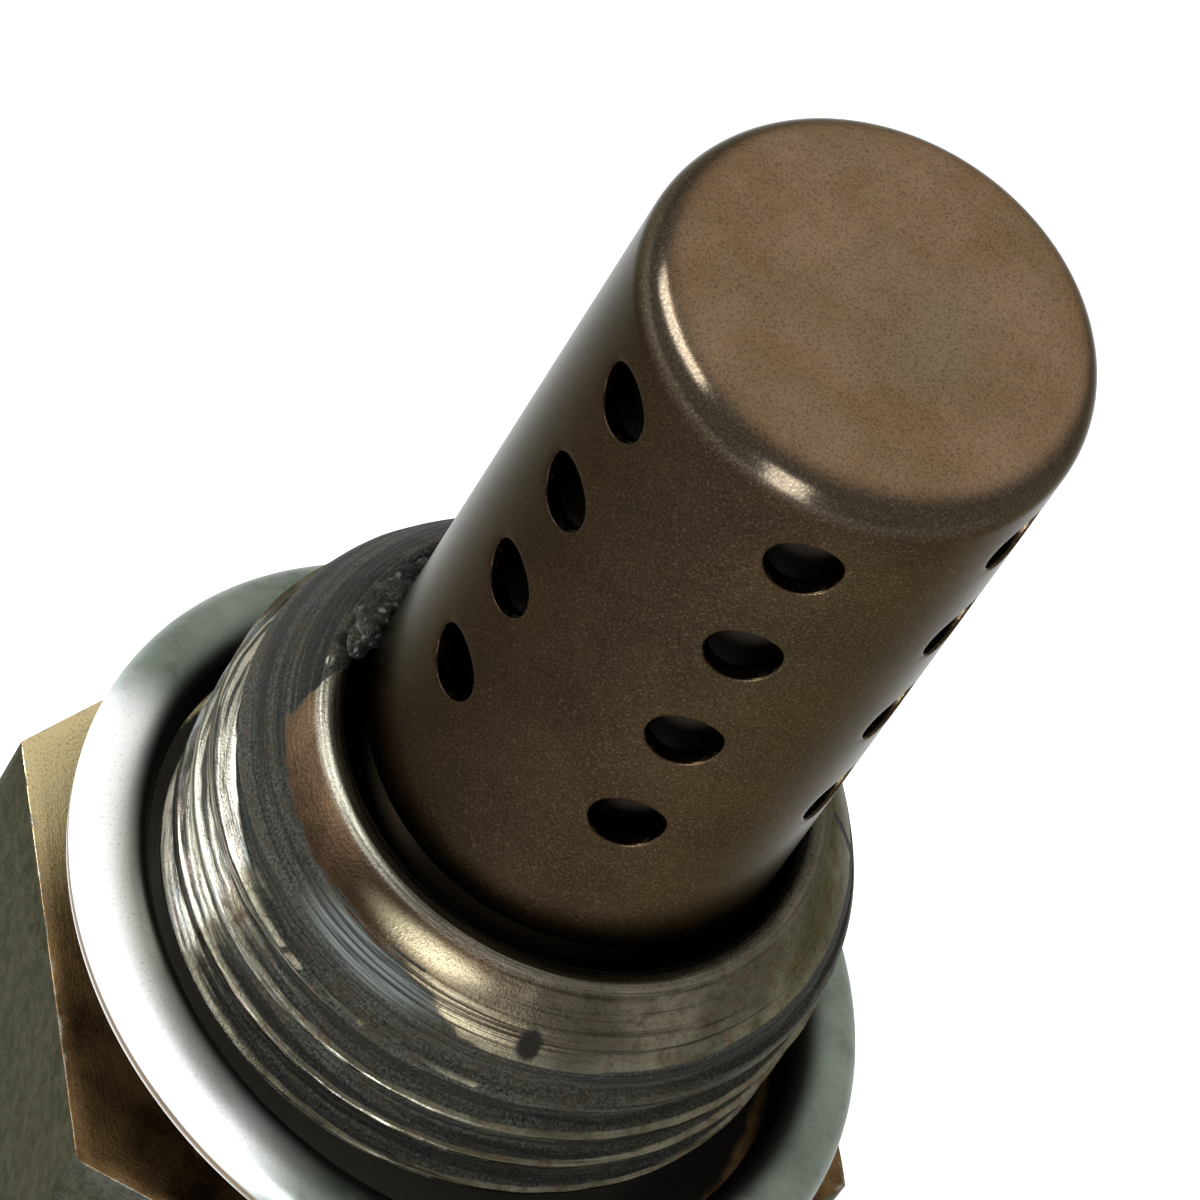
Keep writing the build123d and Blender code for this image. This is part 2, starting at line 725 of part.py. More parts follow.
with BuildPart() as rear_sleeve:
    with BuildSketch(Plane.XZ):
        with BuildLine():
            Polyline(
                (sleeve_inner_front, sleeve_top_z),
                (sleeve_outer_front, sleeve_top_z),
                (sleeve_outer_front, shoulder_inner_z - shoulder_drop),
                (tail_radius, shoulder_inner_end_z - shoulder_drop),
                (tail_radius, sleeve_end_z),
                (tail_bore_radius, sleeve_end_z),
                (tail_bore_radius, shoulder_inner_end_z),
                (sleeve_inner_front, shoulder_inner_z),
                close=True,
            )
        make_face()
    revolve(axis=Axis.Z)
    for groove_z in groove_heights:
        with BuildSketch(Plane.XZ):
            with Locations((groove_centre_radius, groove_z)):
                Circle(groove_radius + sleeve_wall)
            with Locations((tail_radius - sleeve_wall / 2, groove_z)):
                Rectangle(
                    2 * groove_width,
                    4 * groove_width,
                    align=(Align.MAX, Align.CENTER),
                    mode=Mode.INTERSECT,
                )
        revolve(axis=Axis.Z)
        with BuildSketch(Plane.XZ):
            with Locations((groove_centre_radius, groove_z)):
                Circle(groove_radius)
        revolve(axis=Axis.Z, mode=Mode.SUBTRACT)
    for vent in range(vent_holes):
        with BuildSketch(azimuth_plane(vent * 360 / vent_holes)):
            with Locations((0, vent_z)):
                Circle(vent_hole_diameter / 2)
        extrude(amount=tail_radius + cut_margin, mode=Mode.SUBTRACT)
rear_sleeve.part.label = "rear_sleeve"
export_step(rear_sleeve.part, "parts/rear_sleeve.step")

# Vent membrane: porous band that lets reference air in and keeps water out
membrane_radius = tail_radius + slip + membrane_thickness
with BuildPart() as vent_membrane:
    with BuildSketch(Plane.XY.offset(membrane_top_z - membrane_length)):
        Circle(membrane_radius)
        Circle(tail_radius + slip, mode=Mode.SUBTRACT)
    extrude(amount=membrane_length)
vent_membrane.part.label = "vent_membrane"
export_step(vent_membrane.part, "parts/vent_membrane.step")

# Vent sleeve: short outer cover, crimped on the tail above and below the membrane, with
# its holes turned away from those of the sleeve
vent_bore_radius = membrane_radius + slip
vent_outer_radius = vent_bore_radius + vent_sleeve_wall
crimp_bore_radius = tail_radius + slip
crimp_outer_radius = crimp_bore_radius + vent_sleeve_wall
vent_bottom_z = membrane_top_z - membrane_length - vent_crimp_length - membrane_thickness
with BuildPart() as vent_sleeve:
    with BuildSketch(Plane.XZ):
        with BuildLine():
            Polyline(
                (crimp_bore_radius, vent_top_z),
                (crimp_outer_radius, vent_top_z),
                (crimp_outer_radius, vent_top_z - vent_crimp_length),
                (vent_outer_radius, vent_top_z - vent_crimp_length - membrane_thickness),
                (vent_outer_radius, vent_bottom_z + vent_crimp_length + membrane_thickness),
                (crimp_outer_radius, vent_bottom_z + vent_crimp_length),
                (crimp_outer_radius, vent_bottom_z),
                (crimp_bore_radius, vent_bottom_z),
                (crimp_bore_radius, vent_bottom_z + vent_crimp_length),
                (vent_bore_radius, vent_bottom_z + vent_crimp_length + membrane_thickness),
                (vent_bore_radius, vent_top_z - vent_crimp_length - membrane_thickness),
                (crimp_bore_radius, vent_top_z - vent_crimp_length),
                close=True,
            )
        make_face()
    revolve(axis=Axis.Z)
    for vent in range(vent_holes):
        with BuildSketch(azimuth_plane((vent + 0.5) * 360 / vent_holes)):
            with Locations((0, vent_z)):
                Circle(vent_hole_diameter / 2)
        extrude(amount=vent_outer_radius + cut_margin, mode=Mode.SUBTRACT)
vent_sleeve.part.label = "vent_sleeve"
export_step(vent_sleeve.part, "parts/vent_sleeve.step")

# Grommet: rubber plug with a bore for each wire, held by the sleeve's two crimps
grommet_radius = tail_bore_radius - slip
with BuildPart() as cable_grommet:
    with BuildSketch(Plane.XY.offset(grommet_end_z)):
        Circle(grommet_radius)
    extrude(amount=grommet_length)
    with BuildSketch(Plane.XZ):
        for groove_z in groove_heights:
            with Locations((groove_centre_radius, groove_z)):
                Circle(groove_radius + sleeve_wall + slip)
    revolve(axis=Axis.Z, mode=Mode.SUBTRACT)
    with BuildSketch(Plane.XY.offset(grommet_end_z)):
        with PolarLocations(wire_circle_radius, wire_count, start_angle=first_wire_azimuth):
            Circle(wire_radius)
    extrude(amount=grommet_length, mode=Mode.SUBTRACT)
cable_grommet.part.label = "cable_grommet"
export_step(cable_grommet.part, "parts/cable_grommet.step")
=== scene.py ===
import bpy
import numpy as np
from mathutils import Matrix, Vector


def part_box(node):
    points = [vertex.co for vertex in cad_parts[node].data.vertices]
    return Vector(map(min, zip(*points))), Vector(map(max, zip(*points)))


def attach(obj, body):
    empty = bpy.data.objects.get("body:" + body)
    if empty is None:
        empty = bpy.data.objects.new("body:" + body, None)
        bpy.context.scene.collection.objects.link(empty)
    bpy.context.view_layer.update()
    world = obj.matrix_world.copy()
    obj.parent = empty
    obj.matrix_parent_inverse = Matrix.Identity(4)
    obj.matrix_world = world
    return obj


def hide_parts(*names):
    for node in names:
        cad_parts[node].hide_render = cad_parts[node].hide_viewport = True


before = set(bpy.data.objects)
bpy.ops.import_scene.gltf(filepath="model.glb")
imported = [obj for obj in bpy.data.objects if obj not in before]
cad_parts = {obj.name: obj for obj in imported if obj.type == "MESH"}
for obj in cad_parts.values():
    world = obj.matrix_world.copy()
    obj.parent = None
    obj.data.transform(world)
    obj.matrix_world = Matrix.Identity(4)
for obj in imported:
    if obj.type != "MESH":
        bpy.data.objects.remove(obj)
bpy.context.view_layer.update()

# Shell: turned stainless steel with an M18 x 1.5 thread, a rounded nose whose lip is rolled
# over the flange of the protection tube, and a hexagon. The grooves are full of dark assembly
# paste, the crests are rubbed bright, and heat has tinted the nose bronze.
MM = 0.001
COLUMNS = 300
AZIMUTH = np.linspace(-np.pi, np.pi, COLUMNS, endpoint=False)
thread_radius = 9.0
root_radius = 8.08
thread_pitch = 1.5
crest_width = 0.12
flank_angle = np.radians(30)
crest_azimuth, crest_height = -96.68, 3.68
undercut_top, thread_full, thread_top, thread_rows = 3.2, 3.62, 8.05, 160
paste_radius, paste_fillet = 8.5, 0.08
nose_top, nose_depth, nose_rows = 11.45, 4.477, 60
nose_inner, nose_reach, nose_power = 6.9, 2.394, 1.543
mouth_radius, mouth_top, mouth_floor = 6.42, 11.22, 10.8
flange_radius, ledge_height, front_bore_radius = 6.98, 9.95, 4.3
seat_top, seat_bottom, body_bore_radius = 5.2, 4.22, 6.0
crimp_lip_radius, crimp_inner, crimp_end = 4.9, -14.6, -15.6
crimp_radius, crimp_bend = 7.0, 1.0
collar_radius, collar_end, collar_edge = 7.6, -12.5, 0.1
hex_apothem, hex_height, hex_corner, hex_corner_blend = 11.0, 10.0, 12.7, 0.1
hex_chamfer, chamfer_slope = 0.9, np.tan(np.radians(30))
front_edge_break, front_edge_wear, root_fillet = 0.055, 0.015, 0.15


def linear(hex_colour):
    """Linear RGBA of an sRGB hex colour: c / 12.92 in the darks, else ((c + 0.055) / 1.055) ** 2.4."""
    c = np.array([int(hex_colour[i : i + 2], 16) for i in (1, 3, 5)]) / 255
    return (*np.where(c <= 0.04045, c / 12.92, ((c + 0.055) / 1.055) ** 2.4), 1.0)


def add(tree, kind, settings, output=0):
    """Adds one shader node and gives back one of its outputs. A setting is a property, an input's
    value or hex colour, or another node's output, which is then joined to that input."""
    node = tree.nodes.new("ShaderNode" + kind)
    for name, value in settings.items():
        if isinstance(value, bpy.types.NodeSocket):
            tree.links.new(value, node.inputs[name])
        elif isinstance(name, int) or name in node.inputs:
            node.inputs[name].default_value = linear(value) if isinstance(value, str) else value
        else:
            setattr(node, name, value)
    return node.outputs[output] if node.outputs else None


def lay(tree, under, over, mask, low=0.0, high=1.0, strength=1.0):
    """Lays one colour over another where a mask rises from low to high, by a smooth step."""
    limits = {"From Min": low, "From Max": high, "To Max": strength, "Value": mask}
    share = add(tree, "MapRange", {"interpolation_type": "SMOOTHSTEP", **limits})
    return add(tree, "MixRGB", {"Fac": share, "Color1": under, "Color2": over})


def finish_material(name, build):
    """Node material of that name: build(tree, place) returns the Principled shader's settings."""
    material = bpy.data.materials.new(name)
    material.use_nodes = True
    tree = material.node_tree
    tree.nodes.clear()
    place = add(tree, "TexCoord", {}, "Object")
    shader = add(tree, "BsdfPrincipled", build(tree, place))
    add(tree, "OutputMaterial", {"Surface": shader})
    return material


def smooth(value, low, high):
    """Smooth step: 0 below low, 1 above high, and 3 t^2 - 2 t^3 between them."""
    t = np.clip((value - low) / (high - low), 0, 1)
    return t * t * (3 - 2 * t)


def bell(value, width):
    """Bell curve about zero: exp(-(value / width)^2)."""
    return np.exp(-((value / width) ** 2))


def from_azimuth(azimuth, degrees):
    """Signed degrees from a direction to each azimuth: (azimuth - direction + 180) mod 360 - 180."""
    return np.mod(np.degrees(azimuth) - degrees + 180, 360) - 180


def ripple(azimuth, height, turns, slope, seed, count=9):
    """Uneven relief round the axis, about -1 to 1: a sum of sine waves, each with a whole number of
    turns up to the one given, its own slope in height and its own phase."""
    random = np.random.default_rng(seed)
    relief = 0
    for _ in range(count):
        wave = random.integers(1, turns) * azimuth + random.uniform(-slope, slope) * height
        relief = relief + np.sin(wave + random.uniform(0, 2 * np.pi))
    return relief / np.sqrt(count)


def soft_min(a, b, blend):
    """Smaller of two lengths, rounded over where they are within the blend of each other."""
    near = np.clip(0.5 + (b - a) / (2 * blend), 0, 1)
    return b + (a - b) * near - blend * near * (1 - near)


def add_mesh(name, points, faces, material, layers=None):
    """Smooth-shaded mesh object from points in millimetres and faces of four corners, where a
    corner that repeats the one before it is left out. Layers are numbers or vectors at each point."""
    kept = faces != np.roll(faces, 1, axis=1)
    sizes = kept.sum(axis=1)
    mesh = bpy.data.meshes.new(name)
    mesh.vertices.add(len(points))
    mesh.vertices.foreach_set("co", (points * MM).astype(np.float32).ravel())
    mesh.loops.add(int(sizes.sum()))
    mesh.loops.foreach_set("vertex_index", faces[kept].astype(np.int32))
    mesh.polygons.add(len(faces))
    mesh.polygons.foreach_set("loop_start", (np.cumsum(sizes) - sizes).astype(np.int32))
    mesh.update(calc_edges=True)
    mesh.polygons.foreach_set("use_smooth", np.ones(len(faces), bool))
    for layer, values in (layers or {}).items():
        kind, field = ("FLOAT", "value") if values.ndim == 1 else ("FLOAT_VECTOR", "vector")
        attribute = mesh.attributes.new(layer, kind, "POINT")
        attribute.data.foreach_set(field, values.astype(np.float32).ravel())
    mesh.materials.append(material)
    piece = bpy.data.objects.new(name, mesh)
    bpy.context.scene.collection.objects.link(piece)
    return piece


def weld(points, faces):
    """Joins points within a ten-thousandth of a millimetre. Gives back the points kept, the faces
    on them without those that shrink to a line, and which of the old points each new one was."""
    _, first, index = np.unique(np.round(points, 4), axis=0, return_index=True, return_inverse=True)
    faces = index.ravel()[faces]
    corners = (faces != np.roll(faces, 1, axis=1)).sum(axis=1)
    return points[first], faces[corners > 2], first


def closed_grid(rows, columns):
    """Faces of a grid of points that closes on itself both ways: corners (i, j), (i, j + 1),
    (i + 1, j + 1), (i + 1, j), with the last row and column joined to the first."""
    i, j = np.meshgrid(np.arange(rows), np.arange(columns), indexing="ij")
    i2, j2 = (i + 1) % rows, (j + 1) % columns
    corners = [i * columns + j, i * columns + j2, i2 * columns + j2, i2 * columns + j]
    return np.stack(corners, -1).reshape(-1, 4)


def around(radius, height, azimuth=AZIMUTH):
    """Points at radius and height, given as rows by columns, at each column's azimuth."""
    return np.stack([radius * np.cos(azimuth), radius * np.sin(azimuth), height], -1)


def run(start, end, steps):
    """Straight rows from one (radius, height) to just before the next, each a number or a row."""
    share = np.linspace(0, 1, steps, endpoint=False)[:, None]
    ends = [np.broadcast_to(np.asarray(v, float), AZIMUTH.shape) for v in (*start, *end)]
    return ends[0] + (ends[2] - ends[0]) * share, ends[1] + (ends[3] - ends[1]) * share


def crest_distance(azimuth, height):
    """Distance along the axis to the nearest crest of the right-hand thread: the height above the
    crest that passes this azimuth, folded into half a pitch either way."""
    turn = (height - crest_height) / thread_pitch - (np.degrees(azimuth) - crest_azimuth) / 360
    return np.abs(turn - np.round(turn)) * thread_pitch


# The hexagon's outline: the distance to the nearest flat over the cosine of the angle from it
side_angle = np.mod(AZIMUTH, np.pi / 3) - np.pi / 6
next_angle = np.pi / 3 - np.abs(side_angle)
flats = [hex_apothem / np.cos(angle) for angle in (side_angle, next_angle)]
hexagon = soft_min(*flats, hex_corner_blend)
rear_chamfer = hex_chamfer - hex_height - (hex_corner - hexagon) * chamfer_slope
rear_chamfer = np.maximum(-hex_height, rear_chamfer)
chamfer_end = np.minimum(hexagon, hex_corner - hex_chamfer / chamfer_slope)
front_edge = np.clip(front_edge_break + front_edge_wear * ripple(AZIMUTH, 0, 90, 0, 5, 20), 0.02, 0.1)

# The nose is a stretch of a superellipse, from the thread's top up to the lip
nose_start = ((thread_top - nose_top + nose_depth) / nose_depth) ** (1 / nose_power)
nose_turn = np.linspace(np.arccos(nose_start), 0, nose_rows)
nose_radius = nose_inner + nose_reach * np.sin(nose_turn) ** nose_power
nose_height = nose_top - nose_depth * (1 - np.cos(nose_turn) ** nose_power)
thread_heights = np.linspace(thread_full, thread_top, thread_rows, endpoint=False)
lip_turn = np.linspace(0, np.pi / 2, 10)[1:]
lip_radius = mouth_radius + (nose_inner - mouth_radius) * (1 - np.sin(lip_turn))
lip_height = mouth_top + (nose_top - mouth_top) * np.cos(lip_turn)
bend = np.linspace(0, np.pi / 2, 7)[:, None] + 0 * AZIMUTH

profile = [
    run((mouth_radius, mouth_top), (mouth_radius, mouth_floor), 2),
    run((mouth_radius, mouth_floor), (flange_radius, mouth_floor), 1),
    run((flange_radius, mouth_floor), (flange_radius, ledge_height), 1),
    run((flange_radius, ledge_height), (front_bore_radius, ledge_height), 1),
    run((front_bore_radius, ledge_height), (front_bore_radius, seat_top), 1),
    run((front_bore_radius, seat_top), (body_bore_radius, seat_bottom), 1),
    run((body_bore_radius, seat_bottom), (body_bore_radius, crimp_inner), 2),
    run((body_bore_radius, crimp_inner), (crimp_lip_radius, crimp_inner), 1),
    run((crimp_lip_radius, crimp_inner), (crimp_lip_radius, crimp_end), 1),
    run((crimp_lip_radius, crimp_end), (crimp_radius - crimp_bend, crimp_end), 2),
    (crimp_radius - crimp_bend + crimp_bend * np.sin(bend), crimp_inner - crimp_bend * np.cos(bend)),
    run((crimp_radius, crimp_inner + 0.1), (crimp_radius, collar_end), 2),
    run((crimp_radius, collar_end), (collar_radius - collar_edge, collar_end), 2),
    run((collar_radius - collar_edge, collar_end), (collar_radius, collar_end + collar_edge), 1),
    run((collar_radius, collar_end + collar_edge), (collar_radius, -hex_height), 3),
    run((collar_radius, -hex_height), (chamfer_end, -hex_height), 4),
    run((chamfer_end, -hex_height), (hexagon, rear_chamfer), 3),
    run((hexagon, rear_chamfer), (hexagon, -front_edge), 8),
    run((hexagon, -front_edge), (hexagon - 0.3 * front_edge, -0.3 * front_edge), 2),
    run((hexagon - 0.3 * front_edge, -0.3 * front_edge), (hexagon - front_edge, 0), 2),
    run((hexagon - front_edge, 0), (root_radius + root_fillet, 0), 8),
    run((root_radius + root_fillet, 0), (root_radius, root_fillet), 2),
    run((root_radius, root_fillet), (root_radius, undercut_top), 4),
    run((root_radius, undercut_top), (thread_radius, thread_full), 8),
]
profile += [
    (across[:, None] + 0 * AZIMUTH, along[:, None] + 0 * AZIMUTH)
    for across, along in (
        (np.full_like(thread_heights, thread_radius), thread_heights),
        (nose_radius, nose_height),
        (lip_radius, lip_height),
    )
]
turned_radius, height = (np.concatenate(rows) for rows in zip(*profile))
azimuth = np.broadcast_to(AZIMUTH, turned_radius.shape)
front = (height > undercut_top - 0.01) & (turned_radius > mouth_radius + 0.02)
nose = front & (height > thread_top)

# Wear: the crests are battered wide on the left of the thread and thin elsewhere. A mark here
# and below is a bell or a step at its place, in degrees of azimuth or millimetres of radius
battered = bell(from_azimuth(azimuth, -164), 32)
uneven_height = height + 0.004 * ripple(azimuth, height, 60, 9, 1, 16)
half_crest = crest_width / 2 + 0.17 * battered + 0.005 * ripple(azimuth, height, 60, 4, 7, 16)
above_crest = np.maximum(crest_distance(azimuth, uneven_height) - half_crest, 0)
groove = above_crest / np.tan(flank_angle)
turning_marks = ripple(0 * azimuth, height, 2, 90, 6, 12)
worn = 0.03 + 0.008 * ripple(azimuth, height, 60, 6, 2) + 0.01 * turning_marks
paste_level = paste_radius - 0.1 * battered + 0.025 * ripple(azimuth, height, 36, 5, 3)
cut = thread_radius - worn - groove
threaded = soft_min(turned_radius, -soft_min(-cut, -paste_level, paste_fillet), 0.03)

# Paste: it fills the grooves, covers the shoulder outside an edge that wanders round the nose,
# and on the left reaches the lip, where it stands proud in lumps
edge_azimuths = [-172, -166, -158, -130, -100, -80, 20, 60, 100, 133]
edge_radii = [6.3, 6.9, 7.75, 7.9, 7.95, 8.5, 8.45, 8.4, 8.2, 6.3]
paste_edge = np.interp(np.degrees(azimuth), edge_azimuths, edge_radii, period=360)
paste_edge = paste_edge + 0.03 * ripple(azimuth, turned_radius, 70, 20, 4, 14)
in_thread = front & (cut < turned_radius - 0.02)
covered = smooth(turned_radius - paste_edge, -0.14, 0.14) * nose * ~in_thread
filled = smooth(paste_level - cut, -0.12, 0.04) * in_thread
worn_paste = 0.62 + 0.38 * bell(from_azimuth(azimuth, -150), 70)
film = 0.8 * (1 - battered) * smooth(groove, 0.02, 0.2) * in_thread
streaky = smooth(from_azimuth(azimuth, -28), -60, -30) * smooth(-from_azimuth(azimuth, 60), -50, -10)
streaky = 0.45 * streaky * smooth(turned_radius, 7.5, 8.3) * nose
paste = np.maximum(np.maximum(covered, filled) * worn_paste, np.maximum(film, streaky))
thick = smooth(turned_radius - paste_edge, 0, 0.5) * bell(from_azimuth(azimuth, 172), 48) * nose
lumps = 0.06 + 0.02 * ripple(azimuth, turned_radius, 60, 9, 8, 16)
radius = np.where(front, threaded, turned_radius)
height = height + thick * lumps
on_crest = front & (height < thread_top + 0.8)
crest_line = smooth(0.05 - above_crest, 0, 0.06) * on_crest
crest_line = crest_line * (0.5 + 0.5 * smooth(ripple(azimuth, height, 100, 3, 9, 20), -0.8, 0.8))
crest_line = crest_line * (0.3 + 0.7 * bell(from_azimuth(azimuth, -130), 50))
flank = smooth(battered, 0.25, 0.7) * (1 - filled) * on_crest
bare = np.maximum(crest_line, flank * (in_thread | (above_crest < 0.05)))

# The hexagon's front edge and corners are scuffed to bright metal
corner = smooth(np.abs(np.degrees(side_angle)), 29.2, 29.8)
on_edge = (height < 0.0001) & (height > -0.9 * front_edge)
on_edge = on_edge & (turned_radius > hexagon - 1.1 * front_edge)
scuffed = 0.2 + 0.3 * smooth(ripple(azimuth, 0, 100, 0, 11, 20), -0.4, 1.0)
on_corner = corner * (height < 0) * (height > hex_chamfer - hex_height)
on_corner = on_corner * (turned_radius > hexagon - 0.01)
bare = np.maximum(bare, np.maximum(on_edge * scuffed, 0.3 * on_corner))

# Soot and painted shade: painted shade makes the mouth, the undercut and the hexagon's face under the
# ring near black, and there is sooting in a pit on the shoulder and a crack on the right
pit = bell(from_azimuth(azimuth, -74.5), 3) * bell(turned_radius - 8.15, 0.32) * nose
crack = bell(from_azimuth(azimuth, 19), 1.3) * smooth(turned_radius, 6.95, 7.3) * nose
# Painted shade: the mouth's bore and the undercut below the thread
mouth = (turned_radius < mouth_radius + 0.03) | (height < undercut_top) & (height > 0.1)
crease = bell(turned_radius - 7.02, 0.07) * bell(from_azimuth(azimuth, 167), 14) * nose
torn = bell(from_azimuth(azimuth, -176), 2.4) * bell(turned_radius - 6.85, 0.28) * nose
marks = np.maximum(np.maximum(pit, crack), np.maximum(crease, torn))
# Painted shade: the hexagon's face and the root fillet under the ring, inside 9.3 to 9.9 mm
under_ring = smooth(-turned_radius, -9.9, -9.3) * (np.abs(height) < root_fillet + 0.01)
under_ring = under_ring * (turned_radius > root_radius)
soot = np.maximum(np.maximum(marks, under_ring), mouth & (turned_radius < thread_radius))
flake = bell(from_azimuth(azimuth, -170), 1.7) * bell(turned_radius - 7.05, 0.16) * nose
paste = paste * (1 - 0.6 * flake)
bare = np.maximum(bare, 0.8 * flake)

# Rubbed: a bright lip all round, brightest round azimuth -150 degrees, where it is partly painted
# highlight; a patch on the shoulder lightened as a painted highlight; and scored lines below it
# Lip: rubbed steel all round, made brightest round azimuth -150 degrees as partly painted highlight
rim = smooth(nose_inner + 0.27 - turned_radius, -0.1, 0.12) * front
rim = rim * (0.3 + 0.7 * bell(from_azimuth(azimuth, -150), 60))
# Painted highlight: a lighter patch on the shoulder where the front lamp's highlight falls
spot = bell(from_azimuth(azimuth, -101), 14) * bell(turned_radius - 7.52, 0.24) * nose
scored = bell(from_azimuth(azimuth, -92), 22) * bell(turned_radius - 8.1, 0.26) * nose
burnished = bell(from_azimuth(azimuth, -108), 16) * bell(turned_radius - 8.2, 0.3) * nose
bronze = bell(from_azimuth(azimuth, -130), 62) * nose * (turned_radius < 8.3)
faced = (height >= -0.02) & (height < 0.1) & (turned_radius > root_radius + 0.2)
# The hexagon's front: painted light, paler towards azimuth 172 degrees, and painted shade, darker round
# the rest
gold = faced * (0.35 + 0.65 * bell(from_azimuth(azimuth, 172), 24))
wrenched = (height < -0.02) & (turned_radius > collar_radius + 0.2)

# The lathe's lines, 0.08 mm apart: a noise in a space that counts the lines along the outline in
# its height and keeps the way round on a small circle is drawn out into rings
lathe_line, lathe_stretch = 0.08, 1.8
travel = np.cumsum(np.hypot(np.diff(turned_radius[:, 0], prepend=0), np.diff(height[:, 0], prepend=0)))
lathe = around(lathe_stretch + 0 * radius, travel[:, None] / lathe_line + 0 * radius)

# A flap of paste bridges the gap between the lip and the tube, crumpled where it was pushed up
flap_start, flap_stop, flap_steps, flap_turns = 150, 187, 120, 40
flap_middle, flap_reach, flap_top, flap_rise = 6.42, 0.52, 11.42, 0.36
flap_streak = 0.3
flap_azimuth = np.radians(np.linspace(flap_start, flap_stop, flap_steps))
flap_share = np.linspace(0, 1, flap_steps)
flap_size = np.sin(np.pi * flap_share) ** 0.4
section = np.linspace(0, 2 * np.pi, flap_turns, endpoint=False)[:, None]
crinkle = 1 + 0.13 * ripple(section, 60 * flap_share, 7, 1, 12, 8)
flap_radius = flap_middle + flap_reach * flap_size * crinkle * np.cos(section)
flap_height = flap_top + flap_rise * flap_size * crinkle * np.sin(section)
flap = around(flap_radius, flap_height, flap_azimuth).transpose(1, 0, 2)
flap_faces = closed_grid(flap_steps, flap_turns)[: (flap_steps - 1) * flap_turns]
ridge = smooth(ripple(section, 90 * flap_share, 9, 1, 21, 10), 0.1, 1.6).T

layers = {
    "paste": paste,
    "bare": bare,
    "soot": soot,
    "rim": rim,
    "spot": spot,
    "scored": scored,
    "burnished": burnished,
    "bronze": bronze,
    "gold": gold,
    "wrenched": wrenched,
    "ridge": 0 * paste,
}
on_flap = {"paste": 1 + 0 * ridge, "ridge": ridge}
layers = {k: np.append(v, on_flap.get(k, 0 * ridge)) for k, v in layers.items()}
layers["lathe"] = np.concatenate([lathe.reshape(-1, 3), flap.reshape(-1, 3) / flap_streak])
shell_points = np.concatenate([around(radius, height).reshape(-1, 3), flap.reshape(-1, 3)])
shell_faces = np.concatenate([closed_grid(*radius.shape), flap_faces + radius.size])
shell_points, shell_faces, kept_points = weld(shell_points, shell_faces)
layers = {k: v[kept_points] for k, v in layers.items()}


